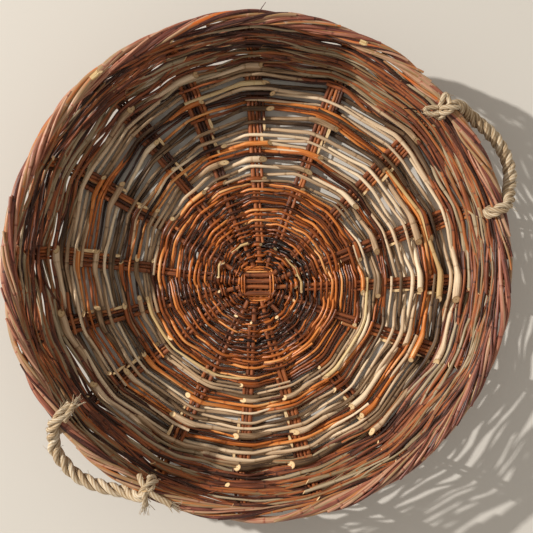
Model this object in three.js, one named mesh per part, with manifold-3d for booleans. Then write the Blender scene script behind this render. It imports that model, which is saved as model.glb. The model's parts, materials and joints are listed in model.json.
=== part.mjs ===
// A shallow round basket of woven willow rods with two twisted rope handles.
//
// Eight base sticks cross in a small square, four over four, and fan out over the floor.
// A flat bundle of side stakes lies against each of the sixteen arms, bends up at the floor's
// edge and climbs the wall. Rows of rods run round the basket, over one arm and under the next.
// A border of three twisted rods closes the wall, and each rope handle is looped round the
// border at two places, so that it swings on it.
//
// Millimetres, +Z up. The basket stands on z = 0, with the middle of its box over the origin.

import * as THREE from "three";
import Module from "manifold-3d";

const wasm = await Module();
wasm.setup();

// Overall sizes
const rimRadius = 300; // to the outside of the border
const borderTop = 125; // height of the border's top above the ground
const wallFlare = 8; // degrees that the wall leans out from upright
const bendRadius = 30; // where the floor turns up into the wall
const floorDome = 5; // rise of the floor's middle over its edge
const crossOffset = 22; // how far the crossing square lies off the rim's centre, towards -Y
const clearance = 0.35; // between pieces that touch on the real basket

// Sticks and stakes
const stakeThickness = 5;
const stickWidth = 6.6;
const sticksPerSide = 4;
const sideStakeWidth = 16; // of the whole bundle
const sideStakeRods = 3;
const sideStakeStart = 110; // how far out the side stakes begin
const sideStakePoint = 30; // length of their cut points
const stakeLean = 2.5; // degrees that a stake leans from the floor's edge to the border

// Bearings of the arms, clockwise from +Y: above, right of, below and left of the square
const armBearings = [
  [321, 338.5, 356.9, 20],
  [44.5, 68.5, 87.8, 109],
  [138, 163, 182.8, 206],
  [233, 255.6, 276.3, 299.7],
].flat();

// Weaving rods
const fineRod = 4.5;
const stoutRod = 6.5;
const edgeRoom = 0.7; // level run of a rod past the edge of what it crosses
const steepestRod = 60; // degrees, where a rod passes from one side to the other

// Rows of the floor from the middle outwards, then of the bend and the wall
const floorBands = [
  { name: "centre_brown_row", rows: 7, rod: fineRod, bark: "brown" },
  { name: "inner_tan_row", rows: 2, rod: fineRod, bark: "tan" },
  { name: "inner_brown_row", rows: 2, rod: fineRod, bark: "brown" },
  { name: "middle_tan_row", rows: 2, rod: stoutRod, bark: "tan" },
  { name: "outer_brown_row", rows: 1, rod: stoutRod, bark: "brown" },
  { name: "outer_tan_row", rows: 3, rod: stoutRod, bark: "tan" },
];
const bendSteps = 3; // straight steps of a stake's bend, with one row on each
const wallRows = 5;
const joinStep = 5; // arms from one row's join to the next row's

// Border
const borderRod = 8;
const borderRods = 3;
const borderTurns = 12; // turns of the rods about one another on their way round the rim
const borderSteps = 6; // straight steps in one turn

// Rope handles
const gripRope = 14;
const eyeRope = 10;
const eyeFreedom = 1; // play of an eye on the border
const eyeRoom = 1.5; // between an eye and the stakes that it hangs beside
const gripReach = 34; // from the eyes' outside to the grip's outermost point
const gripDroop = 25; // degrees below level at rest
// Where the grip's curve is pulled to, along the span and outwards, as shares
const gripPulls = [
  { along: 0.2, out: 1 },
  { along: 1.15, out: 1.67 },
];
// Number of the arm beside each handle's first eye. The second eye hangs beside the next arm.
const handleArmNumbers = { handle_right: 4, handle_left: 11 };
const ropeSides = 8;
const eyeSteps = 14;
const gripSteps = 14;

const looks = {
  stick: { color: 0x6e4128, roughness: 0.65, metalness: 0 },
  stake: { color: 0x7d4b2c, roughness: 0.65, metalness: 0 },
  brown: { color: 0x9a4f24, roughness: 0.55, metalness: 0 },
  tan: { color: 0xa59072, roughness: 0.75, metalness: 0 },
  red: { color: 0x8c5038, roughness: 0.6, metalness: 0 },
  border: { color: 0x955a3c, roughness: 0.55, metalness: 0 },
  rope: { color: 0xc2ad86, roughness: 0.9, metalness: 0 },
};

// What follows is worked out from the sizes above.

const radians = THREE.MathUtils.degToRad;
const up = new THREE.Vector3(0, 0, 1);
const radialAt = (angle) => new THREE.Vector3(Math.cos(angle), Math.sin(angle), 0);
const turnedRight = (v) => new THREE.Vector2(v.y, -v.x);

// A weaving rod has five sides: one lies flat below and a corner points up.
const rodSides = 5;
const rodCorner = (rod) => rod / 2;
const rodFlat = (rod) => (rod / 2) * Math.cos(Math.PI / rodSides);
const overLevel = (rod) => stakeThickness / 2 + clearance + rodFlat(rod);
const underLevel = (rod) => stakeThickness / 2 + clearance + rodCorner(rod);
const floorLevel = underLevel(stoutRod) + rodFlat(stoutRod);

// The border's rods touch halfway along their straight steps, where they lie closest.
const borderHelix =
  (borderRod + clearance) / (2 * Math.sin(Math.PI / borderRods) * Math.cos(Math.PI / borderSteps));
const borderHalf = borderHelix + borderRod / 2;
const borderLevel = borderTop - borderHalf;
const borderRadius = rimRadius - borderHalf;

const eyeRadius = borderHalf + eyeFreedom + eyeRope / 2;
const eyeFoot = borderLevel - eyeRadius - eyeRope / 2;

// Profile of the basket's middle surface, from the floor's edge up the bend and the wall.
// "Way" is the distance along it from the middle of the floor.
const bendTurn = Math.PI / 2 - radians(wallFlare);
const bendStep = bendTurn / bendSteps;
const bendRun = 2 * bendRadius * Math.sin(bendStep / 2);
const wallFoot = floorLevel + bendRadius * (1 - Math.cos(bendTurn));
const wallFootRadius = borderRadius - (borderLevel - wallFoot) * Math.tan(radians(wallFlare));
const floorEdge = wallFootRadius - bendRadius * Math.sin(bendTurn);
const bendEnd = floorEdge + bendSteps * bendRun;
const wayAtHeight = (z) => bendEnd + (z - wallFoot) / Math.sin(bendTurn);
const stakeTopHeight =
  borderLevel - borderHalf - clearance - (stakeThickness / 2) * Math.sin(radians(wallFlare));
const stakeTop = wayAtHeight(stakeTopHeight);

const crossCentre = new THREE.Vector2(0, -crossOffset);
const rowCentre = (way) => crossCentre.clone().multiplyScalar(Math.max(0, 1 - way / floorEdge));
const domeAt = (way) => (floorDome / 2) * (1 + Math.cos(Math.PI * Math.min(way / floorEdge, 1)));

// A point of the middle surface, its outward direction and the direction to its inner side
function surface(way, angle) {
  const radial = radialAt(angle);
  if (way <= floorEdge) {
    const centre = rowCentre(way);
    const point = radial.clone().multiplyScalar(way);
    point.add(new THREE.Vector3(centre.x, centre.y, floorLevel + domeAt(way)));
    return { point, outwards: radial, inside: up };
  }
  const steps = Math.min(Math.floor((way - floorEdge) / bendRun), bendSteps);
  const turn = steps * bendStep;
  const slope = steps < bendSteps ? turn + bendStep / 2 : bendTurn;
  const along = way - floorEdge - steps * bendRun;
  const radius = floorEdge + bendRadius * Math.sin(turn) + along * Math.cos(slope);
  const height = floorLevel + bendRadius * (1 - Math.cos(turn)) + along * Math.sin(slope);
  return {
    point: radial.clone().multiplyScalar(radius).setZ(height),
    outwards: radial.clone().multiplyScalar(Math.cos(slope)).setZ(Math.sin(slope)),
    inside: radial.clone().multiplyScalar(-Math.sin(slope)).setZ(Math.cos(slope)),
  };
}

// The way of a point on the floor, from the row that would pass through it
function floorWay(point) {
  const from = point.clone().sub(crossCentre);
  const share = crossCentre.clone().divideScalar(floorEdge);
  const a = 1 - share.lengthSq();
  const b = from.dot(share);
  return (b + Math.sqrt(b * b + a * from.lengthSq())) / a;
}

// Arms: where each leaves the crossing square and where it meets the floor's edge
const stickPitch = stickWidth + 2 * clearance;
const squareHalf = (sticksPerSide * stickPitch) / 2;
const fanStart = squareHalf + fineRod;
const crossLevel = (stakeThickness + clearance) / 2;
const levelRun = 3 * fineRod; // over which a stick comes back to the floor's level
const stakeStart = sideStakeStart - fanStart; // along the arm
const stakeShift = stickWidth / 2 + clearance + sideStakeWidth / 2;

const arms = armBearings.map((bearing, index) => {
  const side = Math.floor(index / sticksPerSide);
  const place = ((index % sticksPerSide) - (sticksPerSide - 1) / 2) * stickPitch;
  const start = new THREE.Vector2(place, fanStart)
    .rotateAround(new THREE.Vector2(), (-side * Math.PI) / 2)
    .add(crossCentre);
  const ray = new THREE.Vector2(0, 1).rotateAround(new THREE.Vector2(), -radians(bearing));
  const b = ray.dot(crossCentre);
  const reach = -b + Math.sqrt(b * b + floorEdge * floorEdge - crossCentre.lengthSq());
  const end = ray.clone().multiplyScalar(reach).add(crossCentre);
  const run = end.clone().sub(start);
  const right = turnedRight(run).normalize();
  const stakeFoot = end.clone().addScaledVector(right, stakeShift);
  const sink = side % 2 === 0 ? -crossLevel : crossLevel;
  return { start, end, run, right, sink, stakeAngle: stakeFoot.angle() };
});

// How far an arm's stick stands above or below the floor's level at a distance from its start
const sinkAt = (arm, distance) => arm.sink * Math.max(0, 1 - distance / levelRun);

// Where an arm crosses a row: the middle and both edges as angles, and how far along the arm
function crossing(arm, way) {
  if (way > floorEdge) {
    const climb = (way - floorEdge) / (stakeTop - floorEdge);
    const middle = arm.stakeAngle + radians(stakeLean) * climb;
    const { point } = surface(way, middle);
    const half = (sideStakeWidth / 2 + edgeRoom) / Math.hypot(point.x, point.y);
    return { left: middle + half, middle, right: middle - half, distance: arm.run.length() };
  }
  const from = arm.start.clone().sub(rowCentre(way));
  const a = arm.run.lengthSq();
  const b = from.dot(arm.run);
  const share = (-b + Math.sqrt(b * b - a * (from.lengthSq() - way * way))) / a;
  const distance = share * arm.run.length();
  const middle = from.addScaledVector(arm.run, share).angle();
  const stakes = distance > stakeStart - stoutRod ? clearance + sideStakeWidth : 0;
  return {
    left: middle + (stickWidth / 2 + edgeRoom) / way,
    middle,
    right: middle - (stickWidth / 2 + stakes + edgeRoom) / way,
    distance,
  };
}

// Joins sections into one closed body. A section has a point, two axes and an outline.
function sweep(sections, closed = false) {
  const size = sections[0].outline.length;
  const positions = [];
  const triangles = [];
  sections.forEach(({ point, across, rise, outline }) =>
    outline.forEach(([x, y]) => {
      const p = point.clone().addScaledVector(across, x).addScaledVector(rise, y);
      positions.push(p.x, p.y, p.z);
    }),
  );
  const gaps = closed ? sections.length : sections.length - 1;
  for (let i = 0; i < gaps; i++) {
    const here = i * size;
    const next = ((i + 1) % sections.length) * size;
    for (let k = 0; k < size; k++) {
      const n = (k + 1) % size;
      triangles.push(here + k, here + n, next + n);
      triangles.push(here + k, next + n, next + k);
    }
  }
  if (!closed) {
    const last = (sections.length - 1) * size;
    const hubs = positions.length / 3;
    [sections[0], sections.at(-1)].forEach(({ point }) => positions.push(point.x, point.y, point.z));
    for (let k = 0; k < size; k++) {
      const n = (k + 1) % size;
      triangles.push(hubs, n, k);
      triangles.push(hubs + 1, last + k, last + n);
    }
  }
  const geometry = new THREE.BufferGeometry();
  geometry.setAttribute("position", new THREE.Float32BufferAttribute(positions, 3));
  geometry.setIndex(triangles);
  return geometry;
}

// Mitred sections along a path of points, each with the direction across the piece
function mitred(path, outlineAt, closed = false) {
  const count = path.length;
  return path.map(({ point, across }, i) => {
    const before = closed ? path.at(i - 1) : path[Math.max(i - 1, 0)];
    const after = closed ? path[(i + 1) % count] : path[Math.min(i + 1, count - 1)];
    const arriving = point.clone().sub(before.point).normalize();
    const leaving = after.point.clone().sub(point).normalize();
    const ahead = arriving.clone().add(leaving).normalize();
    const side = across.clone().addScaledVector(ahead, -across.dot(ahead)).normalize();
    const rise = side.clone().cross(ahead).normalize();
    if (arriving.length() > 0 && leaving.length() > 0) {
      const stretch = 1 / Math.cos(arriving.angleTo(leaving) / 2) - 1;
      const bend = leaving.clone().sub(arriving).normalize();
      rise.multiplyScalar(1 + stretch * Math.abs(bend.dot(rise)));
      side.multiplyScalar(1 + stretch * Math.abs(bend.dot(side)));
    }
    return { point, across: side, rise, outline: outlineAt(i) };
  });
}

// A regular outline with a corner straight up
function ring(radius, sides) {
  return Array.from({ length: sides }, (_, k) => {
    const a = Math.PI / 2 - (2 * Math.PI * k) / sides;
    return [radius * Math.cos(a), radius * Math.sin(a)];
  });
}

// One stick: six sides, flat above and below
function stickOutline() {
  const top = stakeThickness / 2;
  const edge = stickWidth / 2;
  return [
    [-edge, 0],
    [-edge / 2, top],
    [edge / 2, top],
    [edge, 0],
    [edge / 2, -top],
    [-edge / 2, -top],
  ];
}

// A flat bundle: rods side by side with a groove between neighbours
function bundleOutline(width) {
  const half = stakeThickness / 2;
  const step = width / sideStakeRods;
  const above = [];
  for (let k = 0; k < sideStakeRods; k++) {
    const middle = -width / 2 + (k + 0.5) * step;
    if (k > 0) above.push([middle - step / 2, half / 2]);
    above.push([middle, half]);
  }
  const below = above.map(([x, y]) => [x, -y]).reverse();
  return [[-width / 2, 0], ...above, [width / 2, 0], ...below];
}

function named(name, geometry, look) {
  const mesh = new THREE.Mesh(geometry, new THREE.MeshStandardMaterial(looks[look]));
  mesh.name = name;
  return mesh;
}

const onFloor = (plan, sink = 0) =>
  new THREE.Vector3(plan.x, plan.y, floorLevel + domeAt(floorWay(plan)) + sink);
const flatAcross = (plan) => new THREE.Vector3(plan.x, plan.y, 0);

// Base sticks: each runs from one arm through the square to the arm across from it

function baseStick(name, first, second) {
  const half = (arm) => {
    const length = arm.run.length();
    return [0, levelRun, sideStakeStart, (sideStakeStart + length) / 2, length].map((distance) => {
      const plan = arm.start.clone().addScaledVector(arm.run, distance / length);
      return { point: onFloor(plan, sinkAt(arm, distance)), across: flatAcross(arm.right) };
    });
  };
  const arriving = half(first).reverse();
  arriving.forEach((station) => station.across.negate());
  const path = [...arriving, ...half(second)];
  return named(name, sweep(mitred(path, stickOutline)), "stick");
}

// Side stakes: a bundle beside each arm's stick, from its cut point up to the border

function sideStake(name, arm) {
  const length = arm.run.length();
  const floorStations = [0, sideStakePoint, (length - stakeStart) / 2, length - stakeStart];
  const path = floorStations.map((station) => {
    const width = station === 0 ? sideStakeWidth / sideStakeRods : sideStakeWidth;
    const shift = stickWidth / 2 + clearance + width / 2;
    const plan = arm.start.clone().addScaledVector(arm.run, (stakeStart + station) / length);
    plan.addScaledVector(arm.right, shift);
    return { point: onFloor(plan), across: flatAcross(arm.right), width };
  });
  const wallStations = Array.from({ length: bendSteps }, (_, k) => floorEdge + (k + 1) * bendRun);
  [...wallStations, stakeTop].forEach((way) => {
    const { middle } = crossing(arm, way);
    const across = radialAt(middle - Math.PI / 2);
    path.push({ point: surface(way, middle).point, across, width: sideStakeWidth });
  });
  return named(name, sweep(mitred(path, (i) => bundleOutline(path[i].width))), "stake");
}

// Weaving rows. A row starts and ends on one arm, where its two ends meet.

// Near the square the arms lie too close for a rod to pass between, so a row takes them
// by fours there.
function armsTogether(rod, ways) {
  const room = 2 * edgeRoom + (overLevel(rod) + underLevel(rod)) / Math.tan(radians(steepestRod));
  const tight = arms.some((arm, k) => {
    const here = crossing(arm, ways[k]);
    const next = crossing(arms[(k + 1) % arms.length], ways[(k + 1) % arms.length]);
    const gap = THREE.MathUtils.euclideanModulo(here.right - next.left, 2 * Math.PI) * ways[k];
    return gap + 2 * edgeRoom < room || gap > (Math.PI * ways[k]) / 2;
  });
  return tight ? sticksPerSide : 1;
}

function row({ name, rod, bark, wayAtArm }, index) {
  const ways = arms.map((_, k) => wayAtArm(k));
  const together = armsTogether(rod, ways);
  const first = (index * joinStep) % arms.length;
  const path = [];
  const place = (k, angle, distance, isOver) => {
    const { point, outwards, inside } = surface(ways[k], angle);
    const nearby = [distance - stickWidth / 2, distance + stickWidth / 2];
    const levels = nearby.map((d) => sinkAt(arms[k], d));
    const level = isOver ? Math.max(...levels) + overLevel(rod) : Math.min(...levels) - underLevel(rod);
    point.addScaledVector(inside, level);
    path.push({ point, across: outwards.clone().negate() });
  };
  for (let n = 0; n <= arms.length; n++) {
    const k = (first + n) % arms.length;
    const { left, middle, right, distance } = crossing(arms[k], ways[k]);
    const isOver = (Math.floor(k / together) + index) % 2 === 0;
    const halfGap = clearance / 2 / ways[k];
    if (n > 0) place(k, left, distance, isOver);
    if (n === arms.length) place(k, middle + halfGap, distance, isOver);
    if (n === 0) place(k, middle - halfGap, distance, isOver);
    if (n < arms.length) place(k, right, distance, isOver);
  }
  return named(name, sweep(mitred(path, () => ring(rod / 2, rodSides))), bark);
}

const basket = new THREE.Group();
const numbered = (name, k) => `${name}_${String(k + 1).padStart(2, "0")}`;

for (let k = 0; k < sticksPerSide; k++) {
  const [above, right, below, left] = [0, 1, 2, 3].map((side) => side * sticksPerSide);
  const opposite = sticksPerSide - 1 - k;
  basket.add(
    baseStick(numbered("base_stick_down", k), arms[below + opposite], arms[above + k]),
    baseStick(numbered("base_stick_across", k), arms[left + opposite], arms[right + k]),
  );
}
arms.forEach((arm, k) => basket.add(sideStake(numbered("side_stakes", k), arm)));

const rodsOnFloor = floorBands.reduce((sum, { rows, rod }) => sum + rows * rod, 0);
const rowsOnFloor = floorBands.reduce((sum, { rows }) => sum + rows, 0);
const firstWay = Math.hypot(fanStart, squareHalf - stickPitch / 2) + edgeRoom;
const floorGap = (floorEdge - firstWay - rodsOnFloor) / rowsOnFloor;
const weave = [];
let way = firstWay;
floorBands.forEach(({ name, rows, rod, bark }) => {
  for (let k = 0; k < rows; k++) {
    const here = way + rod / 2;
    weave.push({ name: numbered(name, k), rod, bark, wayAtArm: () => here });
    way += rod + floorGap;
  }
});

for (let k = 0; k < bendSteps; k++) {
  const here = floorEdge + (k + 0.5) * bendRun;
  weave.push({ name: numbered("bend_row", k), rod: stoutRod, bark: "red", wayAtArm: () => here });
}

// The wall's rows fill the height below the border, and dip where a handle's eye hangs.
const dipping = Object.values(handleArmNumbers).flatMap((arm) => [arm, arm + 1, arm + 2]);
for (let k = 0; k < wallRows; k++) {
  const wayAtArm = (arm) => {
    const ceiling = dipping.includes(arm) ? eyeFoot : stakeTopHeight;
    return THREE.MathUtils.lerp(bendEnd, wayAtHeight(ceiling), (k + 0.5) / wallRows);
  };
  weave.push({ name: numbered("wall_row", k), rod: stoutRod, bark: "red", wayAtArm });
}
weave.forEach((description, index) => basket.add(row(description, index)));

// Border: rods wound about one another

for (let k = 0; k < borderRods; k++) {
  const steps = borderTurns * borderSteps;
  const path = Array.from({ length: steps }, (_, i) => {
    const angle = (2 * Math.PI * i) / steps;
    const turn = (2 * Math.PI * i) / borderSteps + (2 * Math.PI * k) / borderRods;
    const point = radialAt(angle)
      .multiplyScalar(borderRadius + borderHelix * Math.cos(turn))
      .setZ(borderLevel + borderHelix * Math.sin(turn));
    return { point, across: radialAt(angle) };
  });
  const body = sweep(mitred(path, () => ring(borderRod / 2, rodSides), true), true);
  basket.add(named(numbered("border_rod", k), body, "border"));
}

// Handles: an eye round the border at each end and a grip between them

function solid(geometry) {
  return new wasm.Manifold(
    new wasm.Mesh({
      numProp: 3,
      vertProperties: geometry.attributes.position.array,
      triVerts: new Uint32Array(geometry.index.array),
    }),
  );
}

function joined(geometries) {
  const mesh = geometries.map(solid).reduce((sum, body) => sum.add(body)).getMesh();
  const geometry = new THREE.BufferGeometry();
  geometry.setAttribute("position", new THREE.BufferAttribute(mesh.vertProperties, 3));
  geometry.setIndex(new THREE.BufferAttribute(mesh.triVerts, 1));
  return geometry;
}

function handle(name, armNumber) {
  const beside = (sideStakeWidth / 2 + eyeRoom + eyeRope / 2) / borderRadius;
  const [start, end] = [armNumber, armNumber + 1].map((k) => {
    const angle = crossing(arms[k], stakeTop).middle - beside;
    return radialAt(angle).multiplyScalar(borderRadius).setZ(borderLevel);
  });
  const along = end.clone().sub(start);
  const axis = along.clone().normalize();
  const level = up.clone().cross(axis);
  const out = level
    .multiplyScalar(Math.cos(radians(gripDroop)))
    .addScaledVector(up, -Math.sin(radians(gripDroop)));
  const eye = (centre) => {
    const path = Array.from({ length: eyeSteps }, (_, i) => {
      const turn = (2 * Math.PI * i) / eyeSteps;
      const spoke = out.clone().applyAxisAngle(axis, turn);
      return { point: centre.clone().addScaledVector(spoke, eyeRadius), across: axis };
    });
    return sweep(mitred(path, () => ring(eyeRope / 2, ropeSides), true), true);
  };
  const root = borderHalf + eyeFreedom + gripRope / 2;
  const at = (share, reach) =>
    start.clone().addScaledVector(along, share).addScaledVector(out, root + reach);
  const [first, second] = gripPulls.map((pull) => at(pull.along, pull.out * gripReach));
  const curve = new THREE.CubicBezierCurve3(at(0, 0), first, second, at(1, 0));
  const plane = axis.clone().cross(out);
  const path = curve.getSpacedPoints(gripSteps).map((point) => ({ point, across: plane }));
  const grip = sweep(mitred(path, () => ring(gripRope / 2, ropeSides)));
  return named(name, joined([eye(start), grip, eye(end)]), "rope");
}

Object.entries(handleArmNumbers).forEach(([name, armNumber]) => basket.add(handle(name, armNumber)));

// The right handle reaches past the rim, so the basket moves over to stand in its box's middle.
const box = new THREE.Box3().setFromObject(basket);
const middle = box.getCenter(new THREE.Vector3());
basket.position.set(-middle.x, -middle.y, -box.min.z);

export default basket;
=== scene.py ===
# %% [markdown]
# A shallow basket of woven willow
#
# The basket is a round tray of brown and tan willow rods with a wound border and two handles
# of twisted rope. Almost everything on it is a rod that follows a path: it lies over one arm
# of the frame, under the next, and ends in a slanted cut. So this script works out paths, and
# one Geometry Nodes tree turns any set of paths into round, tapering rods with cut ends.
#
# The construction comes from the packed model. It stays where it is, and each piece made here
# is laid over the solids that it stands for.
#
# Lengths are in metres, and bearings are in degrees, clockwise from the top of the picture,
# unless a name or a note says otherwise.

import json
import math

import bpy
import numpy as np
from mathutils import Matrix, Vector


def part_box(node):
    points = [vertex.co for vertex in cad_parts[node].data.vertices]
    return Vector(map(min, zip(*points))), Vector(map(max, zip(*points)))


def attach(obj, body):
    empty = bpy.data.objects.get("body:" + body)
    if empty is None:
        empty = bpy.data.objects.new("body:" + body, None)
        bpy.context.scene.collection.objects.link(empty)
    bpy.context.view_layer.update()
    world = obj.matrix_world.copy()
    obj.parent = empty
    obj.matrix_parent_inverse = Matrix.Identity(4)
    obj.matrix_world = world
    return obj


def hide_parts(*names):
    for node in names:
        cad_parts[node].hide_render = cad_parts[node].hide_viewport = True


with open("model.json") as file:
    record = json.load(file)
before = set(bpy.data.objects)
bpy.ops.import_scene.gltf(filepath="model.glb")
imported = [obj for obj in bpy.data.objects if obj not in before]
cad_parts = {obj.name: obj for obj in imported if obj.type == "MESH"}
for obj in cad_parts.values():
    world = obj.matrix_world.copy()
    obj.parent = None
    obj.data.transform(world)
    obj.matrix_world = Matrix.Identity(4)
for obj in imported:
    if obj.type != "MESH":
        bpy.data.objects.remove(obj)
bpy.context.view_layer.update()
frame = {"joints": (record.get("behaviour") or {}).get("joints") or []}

# %% [markdown]
# The camera hangs straight above the basket, as in the photograph. Its height decides how much
# of the wall's inner side shows between the floor and the border. The image counts as a square
# of 533 pixels, and the focal length in pixels gives the lens for Blender's 36 mm sensor.

# %% Camera
IMAGE_SIDE = 533
FOCAL_PIXELS = 1024
SENSOR = 36.0
CAMERA_HEIGHT = 1.315

camera_data = bpy.data.cameras.new("overhead")
camera_data.sensor_width = SENSOR
camera_data.lens = FOCAL_PIXELS * SENSOR / IMAGE_SIDE
camera = bpy.data.objects.new("overhead", camera_data)
camera.location = (0, 0, CAMERA_HEIGHT)
bpy.context.scene.collection.objects.link(camera)
bpy.context.scene.camera = camera
bpy.context.scene.view_settings.view_transform = "Standard"
print("lens", round(camera_data.lens, 1), "mm")

# %% [markdown]
# The basket's middle surface is where the arms of its frame run: a floor with a low dome, a
# round bend and a wall that leans out a little. A place on it is given by the way along the
# surface from the floor's middle, and by the angle round it. The floor's rows start round the
# crossing of the sticks, which lies off the middle of the rim, and shift over to be concentric
# with the rim as they near the floor's edge.

# %% Surface of the basket
borders = [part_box(f"border_rod_0{k}") for k in (1, 2, 3)]
rim_low = np.min([np.array(low) for low, high in borders], axis=0)
rim_high = np.max([np.array(high) for low, high in borders], axis=0)
RIM_CENTRE = (rim_low[:2] + rim_high[:2]) / 2
RIM_RADIUS = (rim_high[0] - rim_low[0]) / 2
BORDER_LEVEL = (rim_low[2] + rim_high[2]) / 2
BORDER_HALF = (rim_high[2] - rim_low[2]) / 2
BORDER_RADIUS = RIM_RADIUS - BORDER_HALF

WALL_FLARE = math.radians(8)
BEND_RADIUS = 0.030
FLOOR_LEVEL = 0.0087
FLOOR_DOME = 0.005
CROSS_OFFSET = 0.022
CENTRE_SHIFT_POWER = 3
BEND_TURN = math.pi / 2 - WALL_FLARE

wall_foot = FLOOR_LEVEL + BEND_RADIUS * (1 - math.cos(BEND_TURN))
foot_radius = BORDER_RADIUS - (BORDER_LEVEL - wall_foot) * math.tan(WALL_FLARE)
FLOOR_EDGE = foot_radius - BEND_RADIUS * math.sin(BEND_TURN)
BEND_END = FLOOR_EDGE + BEND_RADIUS * BEND_TURN
STAKE_TOP = BEND_END + (BORDER_LEVEL - BORDER_HALF - wall_foot) / math.sin(BEND_TURN)
UP = np.array([0.0, 0.0, 1.0])


def unit(vector):
    return vector / np.linalg.norm(vector)


def row_centre(way):
    share = 1 - min(way / FLOOR_EDGE, 1) ** CENTRE_SHIFT_POWER
    return RIM_CENTRE + np.array([0, -CROSS_OFFSET * share])


def dome_height(way):
    return FLOOR_LEVEL + FLOOR_DOME * (1 + math.cos(math.pi * way / FLOOR_EDGE)) / 2


def surface(way, angle):
    """Point of the surface, the direction outwards along it and the one to its inner side."""
    radial = np.array([math.cos(angle), math.sin(angle), 0.0])
    if way <= FLOOR_EDGE:
        return np.append(row_centre(way), dome_height(way)) + radial * way, radial, UP
    turn = min((way - FLOOR_EDGE) / BEND_RADIUS, BEND_TURN)
    straight = way - FLOOR_EDGE - BEND_RADIUS * turn
    outwards = radial * math.cos(turn) + UP * math.sin(turn)
    radius = FLOOR_EDGE + BEND_RADIUS * math.sin(turn)
    height = FLOOR_LEVEL + BEND_RADIUS * (1 - math.cos(turn))
    point = np.append(RIM_CENTRE, height) + radial * radius + outwards * straight
    return point, outwards, UP * math.cos(turn) - radial * math.sin(turn)


print("floor edge", round(FLOOR_EDGE, 4), "wall foot at", round(wall_foot, 4), "m")

# %% [markdown]
# Each handle is tied to the border at two places, its eyes. The line through a handle's two
# eyes is its joint's axis, so their places come from the joints: one eye is the joint's own
# point, and the other is where the same line meets the rim again. The stakes and the border's
# rods both make way for the rope there.

# %% Places of the rope's eyes
joints = {joint["name"]: joint for joint in frame["joints"]}


def eye_angles():
    """Angles round the rim of the four places where rope lies on the border."""
    found = []
    for joint in joints.values():
        near = np.array(joint["pos_m"][:2]) - RIM_CENTRE
        along = np.array(joint["axis"][:2])
        far = near - along * 2 * (near @ along)
        found += [math.atan2(near[1], near[0]), math.atan2(far[1], far[0])]
    return np.array(found)


EYES = eye_angles()


def nearest_eye(angle):
    """The angle from a place on the rim to the eye that is nearest to it."""
    apart = (EYES - angle + math.pi) % (2 * math.pi) - math.pi
    return apart[np.abs(apart).argmin()]


print("eyes at", [round(math.degrees(angle)) for angle in EYES], "degrees")

# %% [markdown]
# Eight base sticks cross in the middle, four over four, and fan out into sixteen arms, whose
# bearings start at the upper left. Side stakes join each arm on its clockwise side, one after
# another from a little way out, so an arm gets wider outwards.

# %% Sticks and stakes
STICK_WIDTH = 0.0066
STICK_PITCH = STICK_WIDTH + 0.0007
STICK_THICKNESS = 0.005
STICKS_PER_SIDE = 4
SQUARE_HALF = STICK_PITCH * STICKS_PER_SIDE / 2
FAN_START = SQUARE_HALF + 0.0045
LEVEL_RUN = 0.0135
CROSS_LEVEL = 0.0027
STAKE_ROD = 0.0044
STAKE_JOINS = (0.035, 0.095, 0.160, 0.190)
STAKE_RODS = len(STAKE_JOINS)
ARM_BEARINGS = [321, 338.5, 356.9, 20, 44.5, 68.5, 87.8, 109]
ARM_BEARINGS += [138, 163, 182.8, 206, 233, 255.6, 276.3, 299.7]
ARMS = len(ARM_BEARINGS)
cross_centre = row_centre(0)


def quarter_turned(plan, quarters):
    """A place in plan, turned clockwise about the origin by quarter turns."""
    turn = -quarters * math.pi / 2
    cosine, sine = math.cos(turn), math.sin(turn)
    return np.array([[cosine, -sine], [sine, cosine]]) @ plan


print("the crossing is a square of", round(2 * SQUARE_HALF, 4), "m")

# %% [markdown]
# Each arm is a straight line over the floor, and knows how far its stick lies above or below the
# floor's level near the crossing. Up the wall its stakes lean a little, and they make way for
# the rope's eyes. The weaver's hand isn't even either: on the real basket rows crowd together
# in places and leave gaps in others. So each arm shifts its rows by two waves, which are given
# by their size, their run along the arm and their turns round the basket.

# %% Arms of the base
STAKE_LEAN = math.radians(2.5)
EYE_ROOM = math.radians(3.3)
BUNCHES = ((0.0008, 0.021, 2), (0.0018, 0.052, 1))
BUNCH_WAYS = (0.03, 0.15, 0.23, 0.25)
BUNCH_SHARES = (0.1, 1.0, 1.0, 0.4)
arm_dice = np.random.default_rng(5)


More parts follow.
